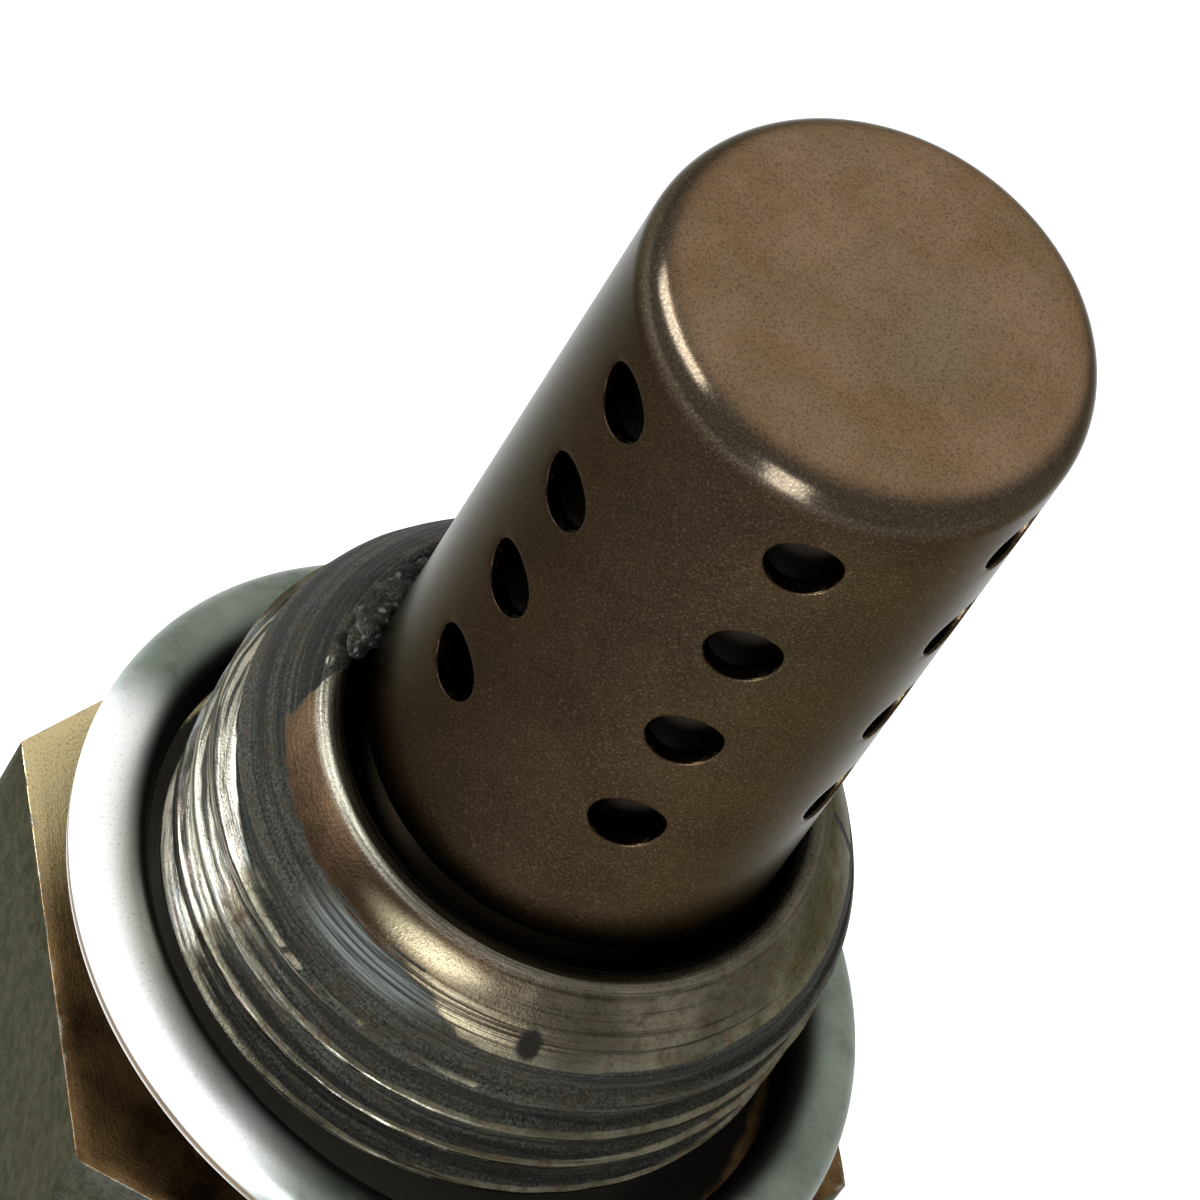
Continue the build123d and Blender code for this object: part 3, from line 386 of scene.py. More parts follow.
def turned_steel(tree, place):
    """Bare steel in the lathe's fine lines, tinted bronze by heat and bright where it is rubbed, with
    painted highlight on the lip and on a patch of the shoulder, and painted light and shade on the
    hexagon's front.
    Granular dark paste lies over it wherever the paste layer and the noises added to it pass a limit.
    Sooting and painted shade turn it near black in the mouth, the undercut and under the ring.
    Its grit is drawn 0.09 mm coarse, coarser than the real one, so that it shows."""
    named = "rim spot scored burnished bronze gold wrenched bare paste soot ridge".split()
    worn = {k: add(tree, "Attribute", {"attribute_name": k}, "Fac") for k in named}
    lathe = add(tree, "Attribute", {"attribute_name": "lathe"}, "Vector")
    lines = add(tree, "TexNoise", {"Vector": lathe, "Scale": 1.0, "Detail": 3, "Roughness": 0.65})
    streaks = add(tree, "TexNoise", {"Vector": lathe, "Scale": 1 / 3.3, "Detail": 4, "Roughness": 0.7})
    cloud = {"Scale": 1 / (2.4 * MM), "Detail": 4, "Roughness": 0.6}
    cloud = add(tree, "TexNoise", {"Vector": place, **cloud})
    clump = {"Scale": 1 / (0.67 * MM), "Detail": 3, "Roughness": 0.6}
    clump = add(tree, "TexNoise", {"Vector": place, **clump})
    ragged = {"Scale": 1 / (0.48 * MM), "Detail": 6, "Roughness": 0.75}
    ragged = add(tree, "TexNoise", {"Vector": place, **ragged})
    grit = {"Scale": 1 / (0.09 * MM), "Detail": 3, "Roughness": 0.8}
    grit = add(tree, "TexNoise", {"Vector": place, **grit})

    # Steel: olive grey to bronze, lighter on the lip, partly as painted highlight, and golden brown on
    # the hexagon's front, paler towards azimuth 172 degrees as painted light and darker elsewhere as
    # painted shade
    olive = lay(tree, "#4a473a", "#676252", cloud, 0.35, 0.65)
    olive = lay(tree, olive, "#4f4234", clump, 0.5, 0.7, 0.8)
    olive = lay(tree, olive, "#2d281d", ragged, 0.48, 0.66, 0.5)
    olive = lay(tree, olive, "#211e16", streaks, 0.5, 0.64, 0.8)
    brown = lay(tree, "#281e14", "#3b2d1f", cloud, 0.3, 0.7)
    steel = lay(tree, olive, brown, worn["bronze"])
    # Lighter lip: rubbed steel, partly painted highlight
    steel = lay(tree, steel, lay(tree, "#49453c", "#7d7869", lines, 0.35, 0.65), worn["rim"])
    # Painted highlight: the lighter patch on the shoulder
    steel = lay(tree, steel, "#8d8267", worn["spot"], 0.1, 1.0)
    score = lay(tree, "#241f18", "#6f6652", lines, 0.42, 0.58)
    steel = lay(tree, steel, score, worn["scored"], 0.1, 0.7, 0.9)
    # Hexagon's front: a golden brown tint with painted light towards azimuth 172 and painted shade
    # elsewhere
    faced = lay(tree, "#38291a", "#755c3c", cloud, 0.3, 0.7)
    faced = lay(tree, faced, "#cbb98b", worn["gold"], 0.35, 0.95)
    steel = lay(tree, steel, faced, worn["gold"], 0.1, 0.3)
    steel = lay(tree, steel, lay(tree, "#33332d", "#46453d", ragged, 0.35, 0.65), worn["wrenched"])
    silver = lay(tree, "#1d1c18", "#a8a390", lines, 0.42, 0.58)
    silver = lay(tree, silver, "#8f8c80", streaks, 0.3, 0.7, 0.4)
    silver = lay(tree, silver, lay(tree, "#a38a80", "#7f8f96", streaks, 0.4, 0.6), cloud, 0.5, 0.7, 0.6)
    rub = add(tree, "Math", {"operation": "MULTIPLY_ADD", 0: ragged, 1: 0.6, 2: worn["bare"]})
    steel = lay(tree, steel, silver, rub, 0.65, 1.0)
    steel = lay(tree, steel, "#14120e", grit, 0.5, 0.75, 0.7)

    # Paste: charcoal with grey grains, combed along the thread, and a few specks of rust
    grains = lay(tree, "#131311", "#484940", grit, 0.35, 0.68)
    grains = lay(tree, grains, "#352d22", clump, 0.38, 0.65, 0.55)
    grains = lay(tree, grains, "#0a0a09", streaks, 0.45, 0.6, 0.75)
    grains = lay(tree, grains, "#5f6058", streaks, 0.36, 0.26, 0.6)
    brushed = lay(tree, "#2c2d29", "#696c65", lines, 0.4, 0.6)
    grains = lay(tree, grains, brushed, worn["burnished"], 0.1, 0.8)
    grains = lay(tree, grains, "#4e2d20", clump, 0.74, 0.78)
    grains = lay(tree, grains, "#6e716b", worn["ridge"], 0.3, 1.0, 0.7)
    wander = add(tree, "Math", {"operation": "MULTIPLY_ADD", 0: ragged, 1: 0.3, 2: worn["paste"]})
    wander = add(tree, "Math", {"operation": "MULTIPLY_ADD", 0: lines, 1: 0.3, 2: wander})
    wander = add(tree, "Math", {"operation": "MULTIPLY_ADD", 0: streaks, 1: 1.2, 2: wander})
    limits = {"From Min": 1.2, "From Max": 1.65, "Value": wander}
    pasted = add(tree, "MapRange", {"interpolation_type": "SMOOTHSTEP", **limits})
    colour = lay(tree, steel, grains, pasted)
    # Sooting and painted shade: near black where the layer and a ragged noise pass a limit
    soot_and_shade_cover = add(tree, "Math", {"operation": "MULTIPLY_ADD", 0: ragged, 1: 0.6, 2: worn["soot"]})
    limits = {"From Min": 0.6, "From Max": 1.1, "Value": soot_and_shade_cover}
    soot_and_shade_cover = add(tree, "MapRange", {"interpolation_type": "SMOOTHSTEP", **limits})
    colour = lay(tree, colour, "#181510", soot_and_shade_cover)
    covered = add(tree, "Math", {"operation": "MAXIMUM", 0: pasted, 1: soot_and_shade_cover})
    relief = add(tree, "Bump", {"Strength": 0.3, "Distance": 0.02 * MM, "Height": lines})
    strength = add(tree, "MapRange", {"To Min": 0.3, "To Max": 1.0, "Value": covered})
    rough_paste = {"Strength": strength, "Distance": 0.06 * MM, "Height": grit, "Normal": relief}
    return {
        "Base Color": colour,
        "Metallic": add(tree, "Math", {"operation": "SUBTRACT", 0: 1.0, 1: covered}),
        "Roughness": add(tree, "MapRange", {"To Min": 0.3, "To Max": 0.75, "Value": covered}),
        "Specular Tint": linear("#b2b1a8"),
        "Specular IOR Level": 0.2,
        "Normal": add(tree, "Bump", rough_paste),
    }


shell_steel = finish_material("turned_stainless_steel", turned_steel)
shell = add_mesh("threaded_shell", shell_points, shell_faces, shell_steel, layers)
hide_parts("hex_shell")
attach(shell, "root")


# Outer protection tube: a deep-drawn stainless steel cup, pierced in six rows of four, which
# the exhaust has tinted brown all over. The drawing leaves it satin and the tint is blotchy.
tube_radius, tube_wall, tube_end = 6.0, 0.45, 33.2
end_round, foot_round, neck_radius = 1.4, 0.45, 5.35
flange_edge, flange_bottom, flange_top = 6.9, 10.37, 10.78
hole_radius, first_hole_height, hole_pitch, holes_in_row = 1.0, 29.88, 4.12, 4
hole_heights = first_hole_height - hole_pitch * np.arange(holes_in_row)
cell_heights = [tube_end - end_round, *(hole_heights - hole_pitch / 2)]
first_hole_azimuth, hole_rows = np.radians(41.9), 6
cell_columns, cell_rows = 24, 16


def strip(points):
    """Faces of a (rows, columns, 3) grid closed round its columns, numbered from 0."""
    rows, columns = points.shape[:2]
    return closed_grid(rows, columns)[: (rows - 1) * columns]


def pierced_cell(centre, middle, low, high, shares, depth):
    """One hole and the wall round it, from the cell's edge in to the hole's, at each share of the
    way, sunk by depth. The edge runs round the rectangle of azimuth and height; the hole is where
    a straight drill of its radius meets the cylinder, at arcsin(x / radius) of azimuth."""
    half = np.pi / hole_rows
    across = np.linspace(-half, half, cell_columns + 1)[:-1]
    up = np.linspace(low, high, cell_rows + 1)[:-1]
    sides = [
        (across, np.full_like(across, low)),
        (np.full_like(up, half), up),
        (-across, np.full_like(across, high)),
        (np.full_like(up, -half), low + high - up),
    ]
    edge_azimuth, edge_height = (np.concatenate(v) for v in zip(*sides))
    angle = np.arctan2(edge_height - middle, edge_azimuth * tube_radius)
    hole_azimuth = np.arcsin(hole_radius * np.cos(angle) / tube_radius)
    hole_height = middle + hole_radius * np.sin(angle)
    shares, depth = shares[:, None], depth[:, None]
    azimuth = centre + edge_azimuth + (hole_azimuth - edge_azimuth) * shares
    height = edge_height + (hole_height - edge_height) * shares
    return around(tube_radius - depth + 0 * azimuth, height, azimuth)


# From the cell's edge in, over the hole's broken edge, through the wall and out along its inside
edge_shares, edge_depths = [0.975, 0.988, 0.997, 1], [0.005, 0.015, 0.035, 0.06]
shares = np.concatenate([np.linspace(0, 0.96, 9), edge_shares, np.linspace(1, 0, 6)])
depth = np.concatenate([np.zeros(9), edge_depths, np.full(6, tube_wall)])
points, faces, count = [], [], 0
for row in range(hole_rows):
    for middle, high, low in zip(hole_heights, cell_heights[:-1], cell_heights[1:]):
        centre = first_hole_azimuth + row * 2 * np.pi / hole_rows
        cell = pierced_cell(centre, middle, low, high, shares, depth)
        points.append(cell.reshape(-1, 3))
        faces.append(strip(cell) + count)
        count += len(points[-1])
start = first_hole_azimuth - np.pi / hole_rows
tube_azimuth = start + np.linspace(0, 2 * np.pi, hole_rows * cell_columns, endpoint=False)
turn = np.linspace(0, np.pi / 2, 12)
cap = np.linspace(1, 0, 14)[1:]
top = tube_end - end_round
end_profile = [
    (np.array([tube_radius]), np.array([cell_heights[0]])),
    (tube_radius - end_round + end_round * np.cos(turn), top + end_round * np.sin(turn)),
    ((tube_radius - end_round) * cap, tube_end + 0 * cap),
]
inner_profile = [
    ((tube_radius - end_round) * cap[::-1], tube_end - tube_wall + 0 * cap),
    (
        tube_radius - end_round + (end_round - tube_wall) * np.cos(turn[::-1]),
        top + (end_round - tube_wall) * np.sin(turn[::-1]),
    ),
    (np.array([tube_radius - tube_wall]), np.array([cell_heights[0]])),
]
foot = nose_top + foot_round
foot_profile = [
    (np.full(6, tube_radius - tube_wall), np.linspace(cell_heights[-1], foot, 6)),
    (
        np.array([*[neck_radius - tube_wall] * 2, *[flange_edge] * 2, neck_radius]),
        np.array([foot, *[flange_bottom] * 2, *[flange_top] * 2]),
    ),
    (
        tube_radius - foot_round + foot_round * np.sin(turn),
        foot - foot_round * np.cos(turn),
    ),
    (np.full(6, tube_radius), np.linspace(foot, cell_heights[-1], 7)[1:]),
]
for part in (end_profile, inner_profile, foot_profile):
    part_radius, part_height = (np.concatenate(v)[:, None] for v in zip(*part))
    shape = (len(part_radius), len(tube_azimuth))
    sheet = around(*(np.broadcast_to(v, shape) for v in (part_radius, part_height)), tube_azimuth)
    points.append(sheet.reshape(-1, 3))
    faces.append(strip(sheet) + count)
    count += len(points[-1])
points, faces, _ = weld(np.concatenate(points), np.concatenate(faces))
reach = np.hypot(points[:, 0], points[:, 1])
# The end: a lighter tint, which is partly painted light for the brighter room the end faces
end_tint_and_painted_light = smooth(points[:, 2], top + 0.9, tube_end) * (points[:, 2] > tube_end - tube_wall + 0.05)
# Inside: sooting, near black, on the inner walls and the holes' walls; then painted shade on the foot
# where it goes into the shell's mouth
inside = smooth(tube_radius - reach, 0.05, 0.13) * (points[:, 2] < top) * (points[:, 2] > foot + 0.05)
inside = np.maximum(inside, smooth(-points[:, 2], -nose_top - 0.05, -nose_top + 0.15))


def tinted_steel(tree, place):
    """Satin steel under a brown oxide film: dark brown down the wall, made deeper on the left by
    painted shade, and lighter on the end, partly a lighter tint and partly painted light, with olive
    and reddish clouds, pale specks, a fine grain, a rubbed round, black sooting inside and painted
    shade on the foot in the shell's mouth. The grain is drawn 0.07 mm coarse so that it shows."""
    cloud = {"Scale": 1 / (3.0 * MM), "Detail": 5, "Roughness": 0.6}
    cloud = add(tree, "TexNoise", {"Vector": place, **cloud})
    wide = {"Scale": 1 / (7.7 * MM), "Detail": 3, "Roughness": 0.6}
    wide = add(tree, "TexNoise", {"Vector": place, **wide})
    speck = {"Scale": 1 / (1.4 * MM), "Detail": 5, "Roughness": 0.8}
    speck = add(tree, "TexNoise", {"Vector": place, **speck})
    grain = {"Scale": 1 / (0.07 * MM), "Detail": 2, "Roughness": 0.8}
    grain = add(tree, "TexNoise", {"Vector": place, **grain})
    end = add(tree, "Attribute", {"attribute_name": "end"}, "Fac")
    inside = add(tree, "Attribute", {"attribute_name": "inside"}, "Fac")
    across = add(tree, "SeparateXYZ", {"Vector": place}, "X")
    upward = add(tree, "SeparateXYZ", {"Vector": place}, "Z")
    # Painted shade: the wall darker towards -X, none by 3.5 mm on +X and none on the rounded end
    shade = lay(tree, "#9a918a", "#ffffff", across, -6 * MM, 3.5 * MM)
    shade = lay(tree, shade, "#ffffff", upward, 31.8 * MM, 32.4 * MM)
    wall = lay(tree, "#2e2316", "#3c2e1e", cloud, 0.3, 0.7)
    wall = lay(tree, wall, "#2f291b", wide, 0.4, 0.7, 0.7)
    wall = lay(tree, wall, "#403a30", upward, 31.8 * MM, 32.4 * MM, 0.7)
    # The end's colour: lighter, partly as painted light
    light = lay(tree, "#785d43", "#876d55", cloud, 0.35, 0.65)
    light = lay(tree, light, "#786b51", wide, 0.4, 0.65, 0.8)
    colour = lay(tree, wall, light, end)
    colour = lay(tree, colour, "#85806e", speck, 0.7, 0.78, 0.5)
    colour = lay(tree, colour, "#0c0905", grain, 0.42, 0.72, 0.52)
    colour = lay(tree, colour, "#72624c", grain, 0.46, 0.28, 0.4)
    shaded = {"blend_type": "MULTIPLY", "Fac": 1.0, "Color1": colour, "Color2": shade}
    colour = add(tree, "MixRGB", shaded)
    # Sooting inside, and painted shade on the foot
    colour = lay(tree, colour, "#2e271d", inside)
    rubbed = {"From Min": 31.6 * MM, "From Max": 32.4 * MM, "Value": upward}
    satin = add(tree, "MapRange", {**rubbed, "To Min": 0.25, "To Max": 0.17})
    return {
        "Base Color": colour,
        "Metallic": 1.0,
        "Roughness": satin,
        "Specular Tint": linear("#bcbab5"),
        "Coat Weight": 0.05,
        "Coat Roughness": 0.2,
        "Normal": add(tree, "Bump", {"Strength": 0.12, "Distance": 0.01 * MM, "Height": grain}),
    }


tube_steel = finish_material("heat_tinted_stainless_steel", tinted_steel)
tube = add_mesh("pierced_tube", points, faces, tube_steel, {"end": end_tint_and_painted_light, "inside": inside})
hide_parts("outer_protection_tube")
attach(tube, "root")


# Sealing ring: zinc-plated steel strip folded into a hollow hoop, satin from rolling. It lies
# loose and askew, one side up by the thread and the other down by the hexagon.
ring_middle, ring_half_width, ring_half_height = 10.575, 1.07, 0.88
ring_tilt, ring_lift = np.radians(7.6), np.radians(226)
ring_slip, ring_slip_azimuth, ring_height = 0.43, np.radians(305.5), 2.324
ring_columns, ring_rows, squareness = 288, 72, 0.85
ring_turn = np.linspace(0, 2 * np.pi, ring_rows, endpoint=False)[:, None]
ring_azimuth = np.linspace(0, 2 * np.pi, ring_columns, endpoint=False)

# The section's turn runs from its outer side, 0 degrees, over its top. The fold's edge shows low
# on the outer side, as a furrow with a ridge under it
fold_edge = 0.05 * bell(np.degrees(ring_turn) - 322, 9) - 0.05 * bell(np.degrees(ring_turn) - 342, 8)
reach = np.sign(np.cos(ring_turn)) * np.abs(np.cos(ring_turn)) ** squareness * (1 + fold_edge)
rise = np.sign(np.sin(ring_turn)) * np.abs(np.sin(ring_turn)) ** squareness
section_radius = ring_middle + ring_half_width * np.minimum(reach, 1) + 0 * ring_azimuth
section_height = ring_half_height * rise + 0 * ring_azimuth
hoop = around(section_radius, section_height, ring_azimuth).reshape(-1, 3)
normal = np.array([np.cos(ring_lift), np.sin(ring_lift), 0]) * -np.sin(ring_tilt)
normal[2] = np.cos(ring_tilt)
first = np.cross([0, 1, 0], normal)
first /= np.linalg.norm(first)
slip = [ring_slip * np.cos(ring_slip_azimuth), ring_slip * np.sin(ring_slip_azimuth), ring_height]
hoop = hoop @ np.stack([first, np.cross(normal, first), normal]) + slip
# Painted highlight: near white round azimuth 210 degrees, on the key lamp's side
highlight_azimuth_offset = from_azimuth(ring_azimuth, 210)
painted_highlight = smooth(highlight_azimuth_offset, -42, -22) * smooth(-highlight_azimuth_offset, -60, -34) + 0 * ring_turn
fold = bell(np.degrees(ring_turn) - 340, 12) + 0 * ring_azimuth
# Painted shade: near black from the top's inner half round the inner side to the bottom
painted_inner_shade = smooth(np.degrees(ring_turn), 72, 135) * smooth(-np.degrees(ring_turn), -270, -230)
painted_inner_shade = painted_inner_shade + 0 * ring_azimuth


def rolled_steel(tree, place):
    """Satin zinc over rolled strip: grey-green where it is dull, near white with painted highlight
    round azimuth 210 degrees, the key lamp's side, with a brownish line at the fold's edge and near
    black painted shade on the section's inner side. The grain is drawn 0.09 mm coarse so that it shows."""
    cloud = {"Scale": 1 / (3.0 * MM), "Detail": 6, "Roughness": 0.65}
    cloud = add(tree, "TexNoise", {"Vector": place, **cloud})
    stain = {"Scale": 1 / (1.1 * MM), "Detail": 5, "Roughness": 0.7}
    stain = add(tree, "TexNoise", {"Vector": place, **stain})
    grain = {"Scale": 1 / (0.09 * MM), "Detail": 2, "Roughness": 0.8}
    grain = add(tree, "TexNoise", {"Vector": place, **grain})
    named = ("painted_highlight", "fold", "painted_inner_shade")
    worn = {k: add(tree, "Attribute", {"attribute_name": k}, "Fac") for k in named}
    dull = lay(tree, "#4f584e", "#8b9387", cloud)
    dull = lay(tree, dull, "#363b33", stain, 0.5, 0.75, 0.5)
    # Painted highlight: near white
    pale = lay(tree, "#f3f5f0", "#fdfdfb", cloud)
    colour = lay(tree, dull, pale, worn["painted_highlight"])
    colour = lay(tree, colour, "#5d6259", grain, 0.5, 0.85, 0.4)
    colour = lay(tree, colour, "#6b5a43", worn["fold"])
    # Painted shade on the section's inner side
    colour = lay(tree, colour, "#1c1c17", worn["painted_inner_shade"])
    return {
        "Base Color": colour,
        "Metallic": 1.0,
        "Roughness": add(tree, "MapRange", {"To Min": 0.36, "To Max": 0.5, "Value": cloud}),
        "Normal": add(tree, "Bump", {"Strength": 0.3, "Distance": 0.01 * MM, "Height": grain}),
    }


ring_steel = finish_material("zinc_plated_steel", rolled_steel)
ring_layers = {"painted_highlight": painted_highlight.ravel(), "fold": fold.ravel(), "painted_inner_shade": painted_inner_shade.ravel()}
ring_faces = closed_grid(ring_rows, ring_columns)
ring = add_mesh("folded_ring", hoop, ring_faces, ring_steel, ring_layers)
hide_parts("sealing_ring")
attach(ring, "root")


# Inner protection tube: a second cup of the same drawn steel, its flange caught with the outer
# one's under the shell's lip. It keeps its solid. Soot from the exhaust leaves it nearly black
# behind the holes, matt and faintly brown.


def grained(dark, light, grain, metallic, roughness, relief):
    """Recipe for a finish: noise with features of the grain's size in millimetres mixes the two
    colours, sways the roughness by 0.05 either way, and raises the relief in millimetres."""
    look = {"Scale": 1 / (grain * MM), "Detail": 4, "Roughness": 0.6}
    sway = {"To Min": roughness - 0.05, "To Max": roughness + 0.05}

    def build(tree, place):
        cloud = add(tree, "TexNoise", {"Vector": place, **look})
        return {
            "Base Color": add(tree, "MixRGB", {"Fac": cloud, "Color1": dark, "Color2": light}),
            "Metallic": metallic,
            "Roughness": add(tree, "MapRange", {**sway, "Value": cloud}),
            "Normal": add(tree, "Bump", {"Strength": 0.4, "Distance": relief * MM, "Height": cloud}),
        }

    return build


def dress(nodes, name, build):
    """Gives the CAD nodes that finish in all their material slots."""
    material = finish_material(name, build)
    for node in nodes:
        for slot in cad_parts[node].material_slots:
            slot.material = material


soot_finish = grained("#2a231a", "#372e23", 0.5, 0.7, 0.7, 0.01)
dress(["inner_protection_tube"], "sooted_stainless_steel", soot_finish)

# Sensing element: a closed thimble of zirconia, pressed, ground and sintered, cream and matt.
# Its collar presses on the washer in the shell, and the exhaust reaches its closed end.
zirconia_finish = grained("#dcd5c4", "#e8e2d3", 0.3, 0.0, 0.6, 0.004)
dress(["sensing_element"], "sintered_zirconia", zirconia_finish)

# Packing: talc powder pressed round the thimble as the seal, pale grey with a crumbly face,
# and a fired steatite bush, smooth and off-white, that the crimped lip keeps pressed on it.
# The contact holder behind them is steatite too.
dress(["powder_packing"], "pressed_talc", grained("#b9b5a8", "#cbc8bd", 0.2, 0.0, 0.8, 0.02))
steatite_finish = grained("#e2ded3", "#ece9df", 0.4, 0.0, 0.5, 0.004)
dress(["ceramic_bush", "contact_holder"], "steatite", steatite_finish)

# Heater: a rod of alumina, fired with its heating strip inside and pushed into the thimble.
# It is whiter than the other ceramics, with a matt face.
dress(["heater_rod"], "alumina", grained("#e9e9e4", "#f3f3ef", 0.3, 0.0, 0.5, 0.004))

# Washer, contacts and terminals: the washer is a turned cone of soft nickel, a little dull.
# The contacts and terminals are stamped, rolled and crimped from nickel-plated strip, which
# keeps the rolls' brightness.
dress(["seat_washer"], "soft_nickel", grained("#a7a193", "#bdb8ac", 0.3, 1.0, 0.4, 0.003))
contacts = ["outer_contact", "inner_contact", "heater_terminal_a", "heater_terminal_b"]
dress(contacts, "nickel_plated_strip", grained("#b5ae9b", "#cdc8b8", 0.4, 1.0, 0.3, 0.002))

# Packing ring and holder spring: a hoop of drawn wire under the crimped lip, and a corrugated
# band that holds the contact holder in its sleeve, both of bare grey spring steel.
spring_finish = grained("#9a9793", "#b3b0ab", 0.4, 1.0, 0.35, 0.002)
dress(["packing_ring", "holder_spring"], "spring_steel", spring_finish)

# Rear sleeve and vent sleeve: drawn stainless steel tubes, polished round their axis, then
# crimped and welded on. Heat from the hexagon has tinted the rear sleeve straw and brown, and
# road dust has dulled both.


def polished_steel(tree, place):
    """Steel with fine lines round the axis: noise that changes a hundred times faster along the
    axis than across it, drawn 0.12 mm coarse so that it shows. The tint goes from straw to brown
    up towards the weld."""
    along = add(tree, "Mapping", {"Vector": place, "Scale": (0.01, 0.01, 1.0)})
    lines = {"Scale": 1 / (0.12 * MM), "Detail": 4, "Roughness": 0.7}
    lines = add(tree, "TexNoise", {"Vector": along, **lines})
    cloud = {"Scale": 1 / (6.0 * MM), "Detail": 4, "Roughness": 0.6}
    cloud = add(tree, "TexNoise", {"Vector": place, **cloud})
    dust = {"Scale": 1 / (0.5 * MM), "Detail": 5, "Roughness": 0.75}
    dust = add(tree, "TexNoise", {"Vector": place, **dust})
    height = add(tree, "SeparateXYZ", {"Vector": place}, "Z")
    steel = lay(tree, "#7a776c", "#8f8c81", lines, 0.3, 0.7)
    steel = lay(tree, steel, "#6b6a61", cloud, 0.45, 0.7, 0.6)
    tint = lay(tree, "#817457", "#564835", height, -20 * MM, -13.5 * MM)
    steel = lay(tree, steel, tint, height, -27 * MM, -15 * MM, 0.85)
    steel = lay(tree, steel, "#4d493f", dust, 0.62, 0.78, 0.5)
    return {
        "Base Color": steel,
        "Metallic": 1.0,
        "Roughness": add(tree, "MapRange", {"To Min": 0.26, "To Max": 0.42, "Value": lines}),
        "Normal": add(tree, "Bump", {"Strength": 0.15, "Distance": 0.004 * MM, "Height": lines}),
    }


dress(["rear_sleeve", "vent_sleeve"], "drawn_stainless_steel", polished_steel)

# Vent membrane: a band of porous white fluoropolymer film, stretched over the vent holes and
# held by the vent sleeve. Road dust has dulled the little that shows.
film_finish = grained("#c9c8c2", "#dddcd6", 0.2, 0.0, 0.8, 0.01)
dress(["vent_membrane"], "porous_fluoropolymer", film_finish)

# Cable grommet: a plug moulded from fluororubber, squeezed fast where the rear sleeve is crimped
# over it in two grooves. The mould leaves it matt black, and dust gives it a grey bloom.
rubber_finish = grained("#191918", "#2b2b29", 0.4, 0.0, 0.65, 0.01)
dress(["cable_grommet"], "moulded_fluororubber", rubber_finish)


# Stage: a floor in matt white paint under the grommet. It takes the shadow, and glows a little
# for the camera and in the metal, so that it meets the white room without a horizon.
floor_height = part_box("cable_grommet")[0].z / MM
floor_half, floor_mottle, floor_glow = 3000.0, 300.0, 0.68
corners = np.array([[-1, -1], [1, -1], [1, 1], [-1, 1]]) * floor_half
floor_points = np.column_stack([corners, np.full(4, floor_height)])


def seen_directly(tree):
    """1 for the camera's rays and for those a mirror or glass sends on, else 0."""
    kinds = ("Camera", "Glossy", "Transmission")
    rays = [add(tree, "LightPath", {}, f"Is {kind} Ray") for kind in kinds]
    seen = add(tree, "Math", {"operation": "MAXIMUM", 0: rays[0], 1: rays[1]})
    return add(tree, "Math", {"operation": "MAXIMUM", 0: seen, 1: rays[2]})


floor_paint = bpy.data.materials.new("matt_white_paint")
floor_paint.use_nodes = True
tree = floor_paint.node_tree
tree.nodes.clear()
place = add(tree, "TexCoord", {}, "Object")
mottle = {"Vector": place, "Scale": 1 / (floor_mottle * MM), "Detail": 3, "Roughness": 0.6}
cloud = add(tree, "TexNoise", mottle)
colour = add(tree, "MixRGB", {"Fac": cloud, "Color1": "#f1f1ef", "Color2": "#f8f8f6"})
paint = add(tree, "BsdfPrincipled", {"Roughness": 0.8, "Base Color": colour})
glow = add(tree, "Math", {"operation": "MULTIPLY", 0: seen_directly(tree), 1: floor_glow})
glow = add(tree, "Emission", {"Strength": glow})
add(tree, "OutputMaterial", {"Surface": add(tree, "AddShader", {0: paint, 1: glow})})
floor = add_mesh("floor", floor_points, np.array([[0, 1, 2, 3]]), floor_paint)

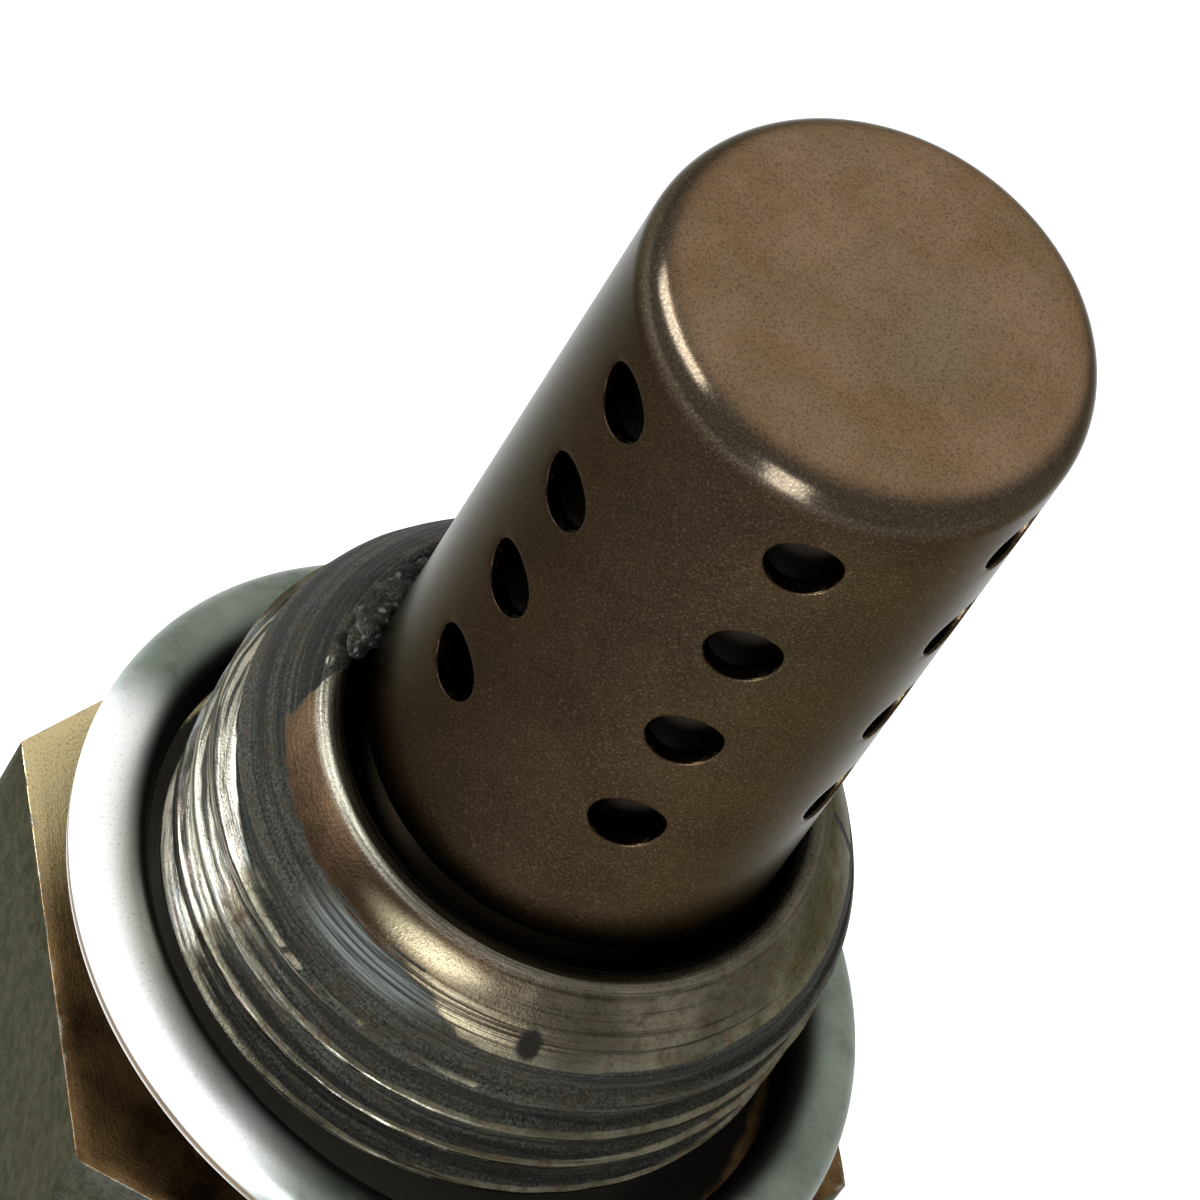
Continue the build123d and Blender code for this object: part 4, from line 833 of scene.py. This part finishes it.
# Light: a white room, dim for the surfaces it lights and full white to the camera and in the
# metal, with two strip softboxes for the highlights on the tube's round and on the nose.
room_on_surfaces, room_seen = 0.2, 1.0
lamps_face = np.array([0, 0, 20.0]) * MM
world = bpy.data.worlds.new("white_room")
bpy.context.scene.world = world
world.use_nodes = True
tree = world.node_tree
tree.nodes.clear()
levels = {"To Min": room_on_surfaces, "To Max": room_seen, "Value": seen_directly(tree)}
room = add(tree, "Background", {"Color": "#ffffff", "Strength": add(tree, "MapRange", levels)})
add(tree, "OutputWorld", {"Surface": room})


def add_lamp(name, azimuth, elevation, roll, distance, width, tall, radiance):
    """Strip softbox that faces the tube from an azimuth and elevation, rolled about its own axis,
    all in degrees. Its distance and its two sides are in metres, and its power is its radiance
    times pi times its area."""
    lamp = bpy.data.lights.new(name, "AREA")
    lamp.shape, lamp.size, lamp.size_y = "RECTANGLE", width, tall
    lamp.energy = radiance * np.pi * width * tall
    lamp.color = linear("#f0f6ff")[:3]
    holder = bpy.data.objects.new(name, lamp)
    bpy.context.scene.collection.objects.link(holder)
    a, e = np.radians(azimuth), np.radians(elevation)
    toward = np.array([np.cos(e) * np.cos(a), np.cos(e) * np.sin(a), np.sin(e)])
    level = np.array([-np.sin(a), np.cos(a), 0])
    side = level * np.cos(np.radians(roll)) + np.cross(toward, level) * np.sin(np.radians(roll))
    matrix = np.eye(4)
    matrix[:3, :3] = np.stack([side, np.cross(toward, side), toward], axis=1)
    matrix[:3, 3] = lamps_face + toward * distance
    holder.matrix_world = Matrix(matrix.tolist())


add_lamp("key_lamp", 190, 27, 24, 0.45, 0.38, 0.12, 22)
add_lamp("front_lamp", -90, 5, 0, 0.4, 0.12, 0.26, 18)

# Camera: at the photograph's place, about 250 mm from the hexagon's face, with a long lens.
# Its axes are its right, its up and the way from the object to it.
camera = bpy.data.objects.new("camera", bpy.data.cameras.new("camera"))
bpy.context.scene.collection.objects.link(camera)
camera.data.sensor_width = 36
camera.data.lens = 279.05
camera.data.clip_start = 0.01
camera.data.clip_end = 20
view = np.eye(4)
view[:3, 0] = [0.876933, 0.337251, 0.342418]
view[:3, 1] = [-0.475226, 0.714820, 0.513022]
view[:3, 2] = [-0.071750, -0.612612, 0.787120]
view[:3, 3] = np.array([-18.790, -145.334, 204.255]) * MM
camera.matrix_world = Matrix(view.tolist())
bpy.context.scene.camera = camera
bpy.context.scene.view_settings.view_transform = "Standard"
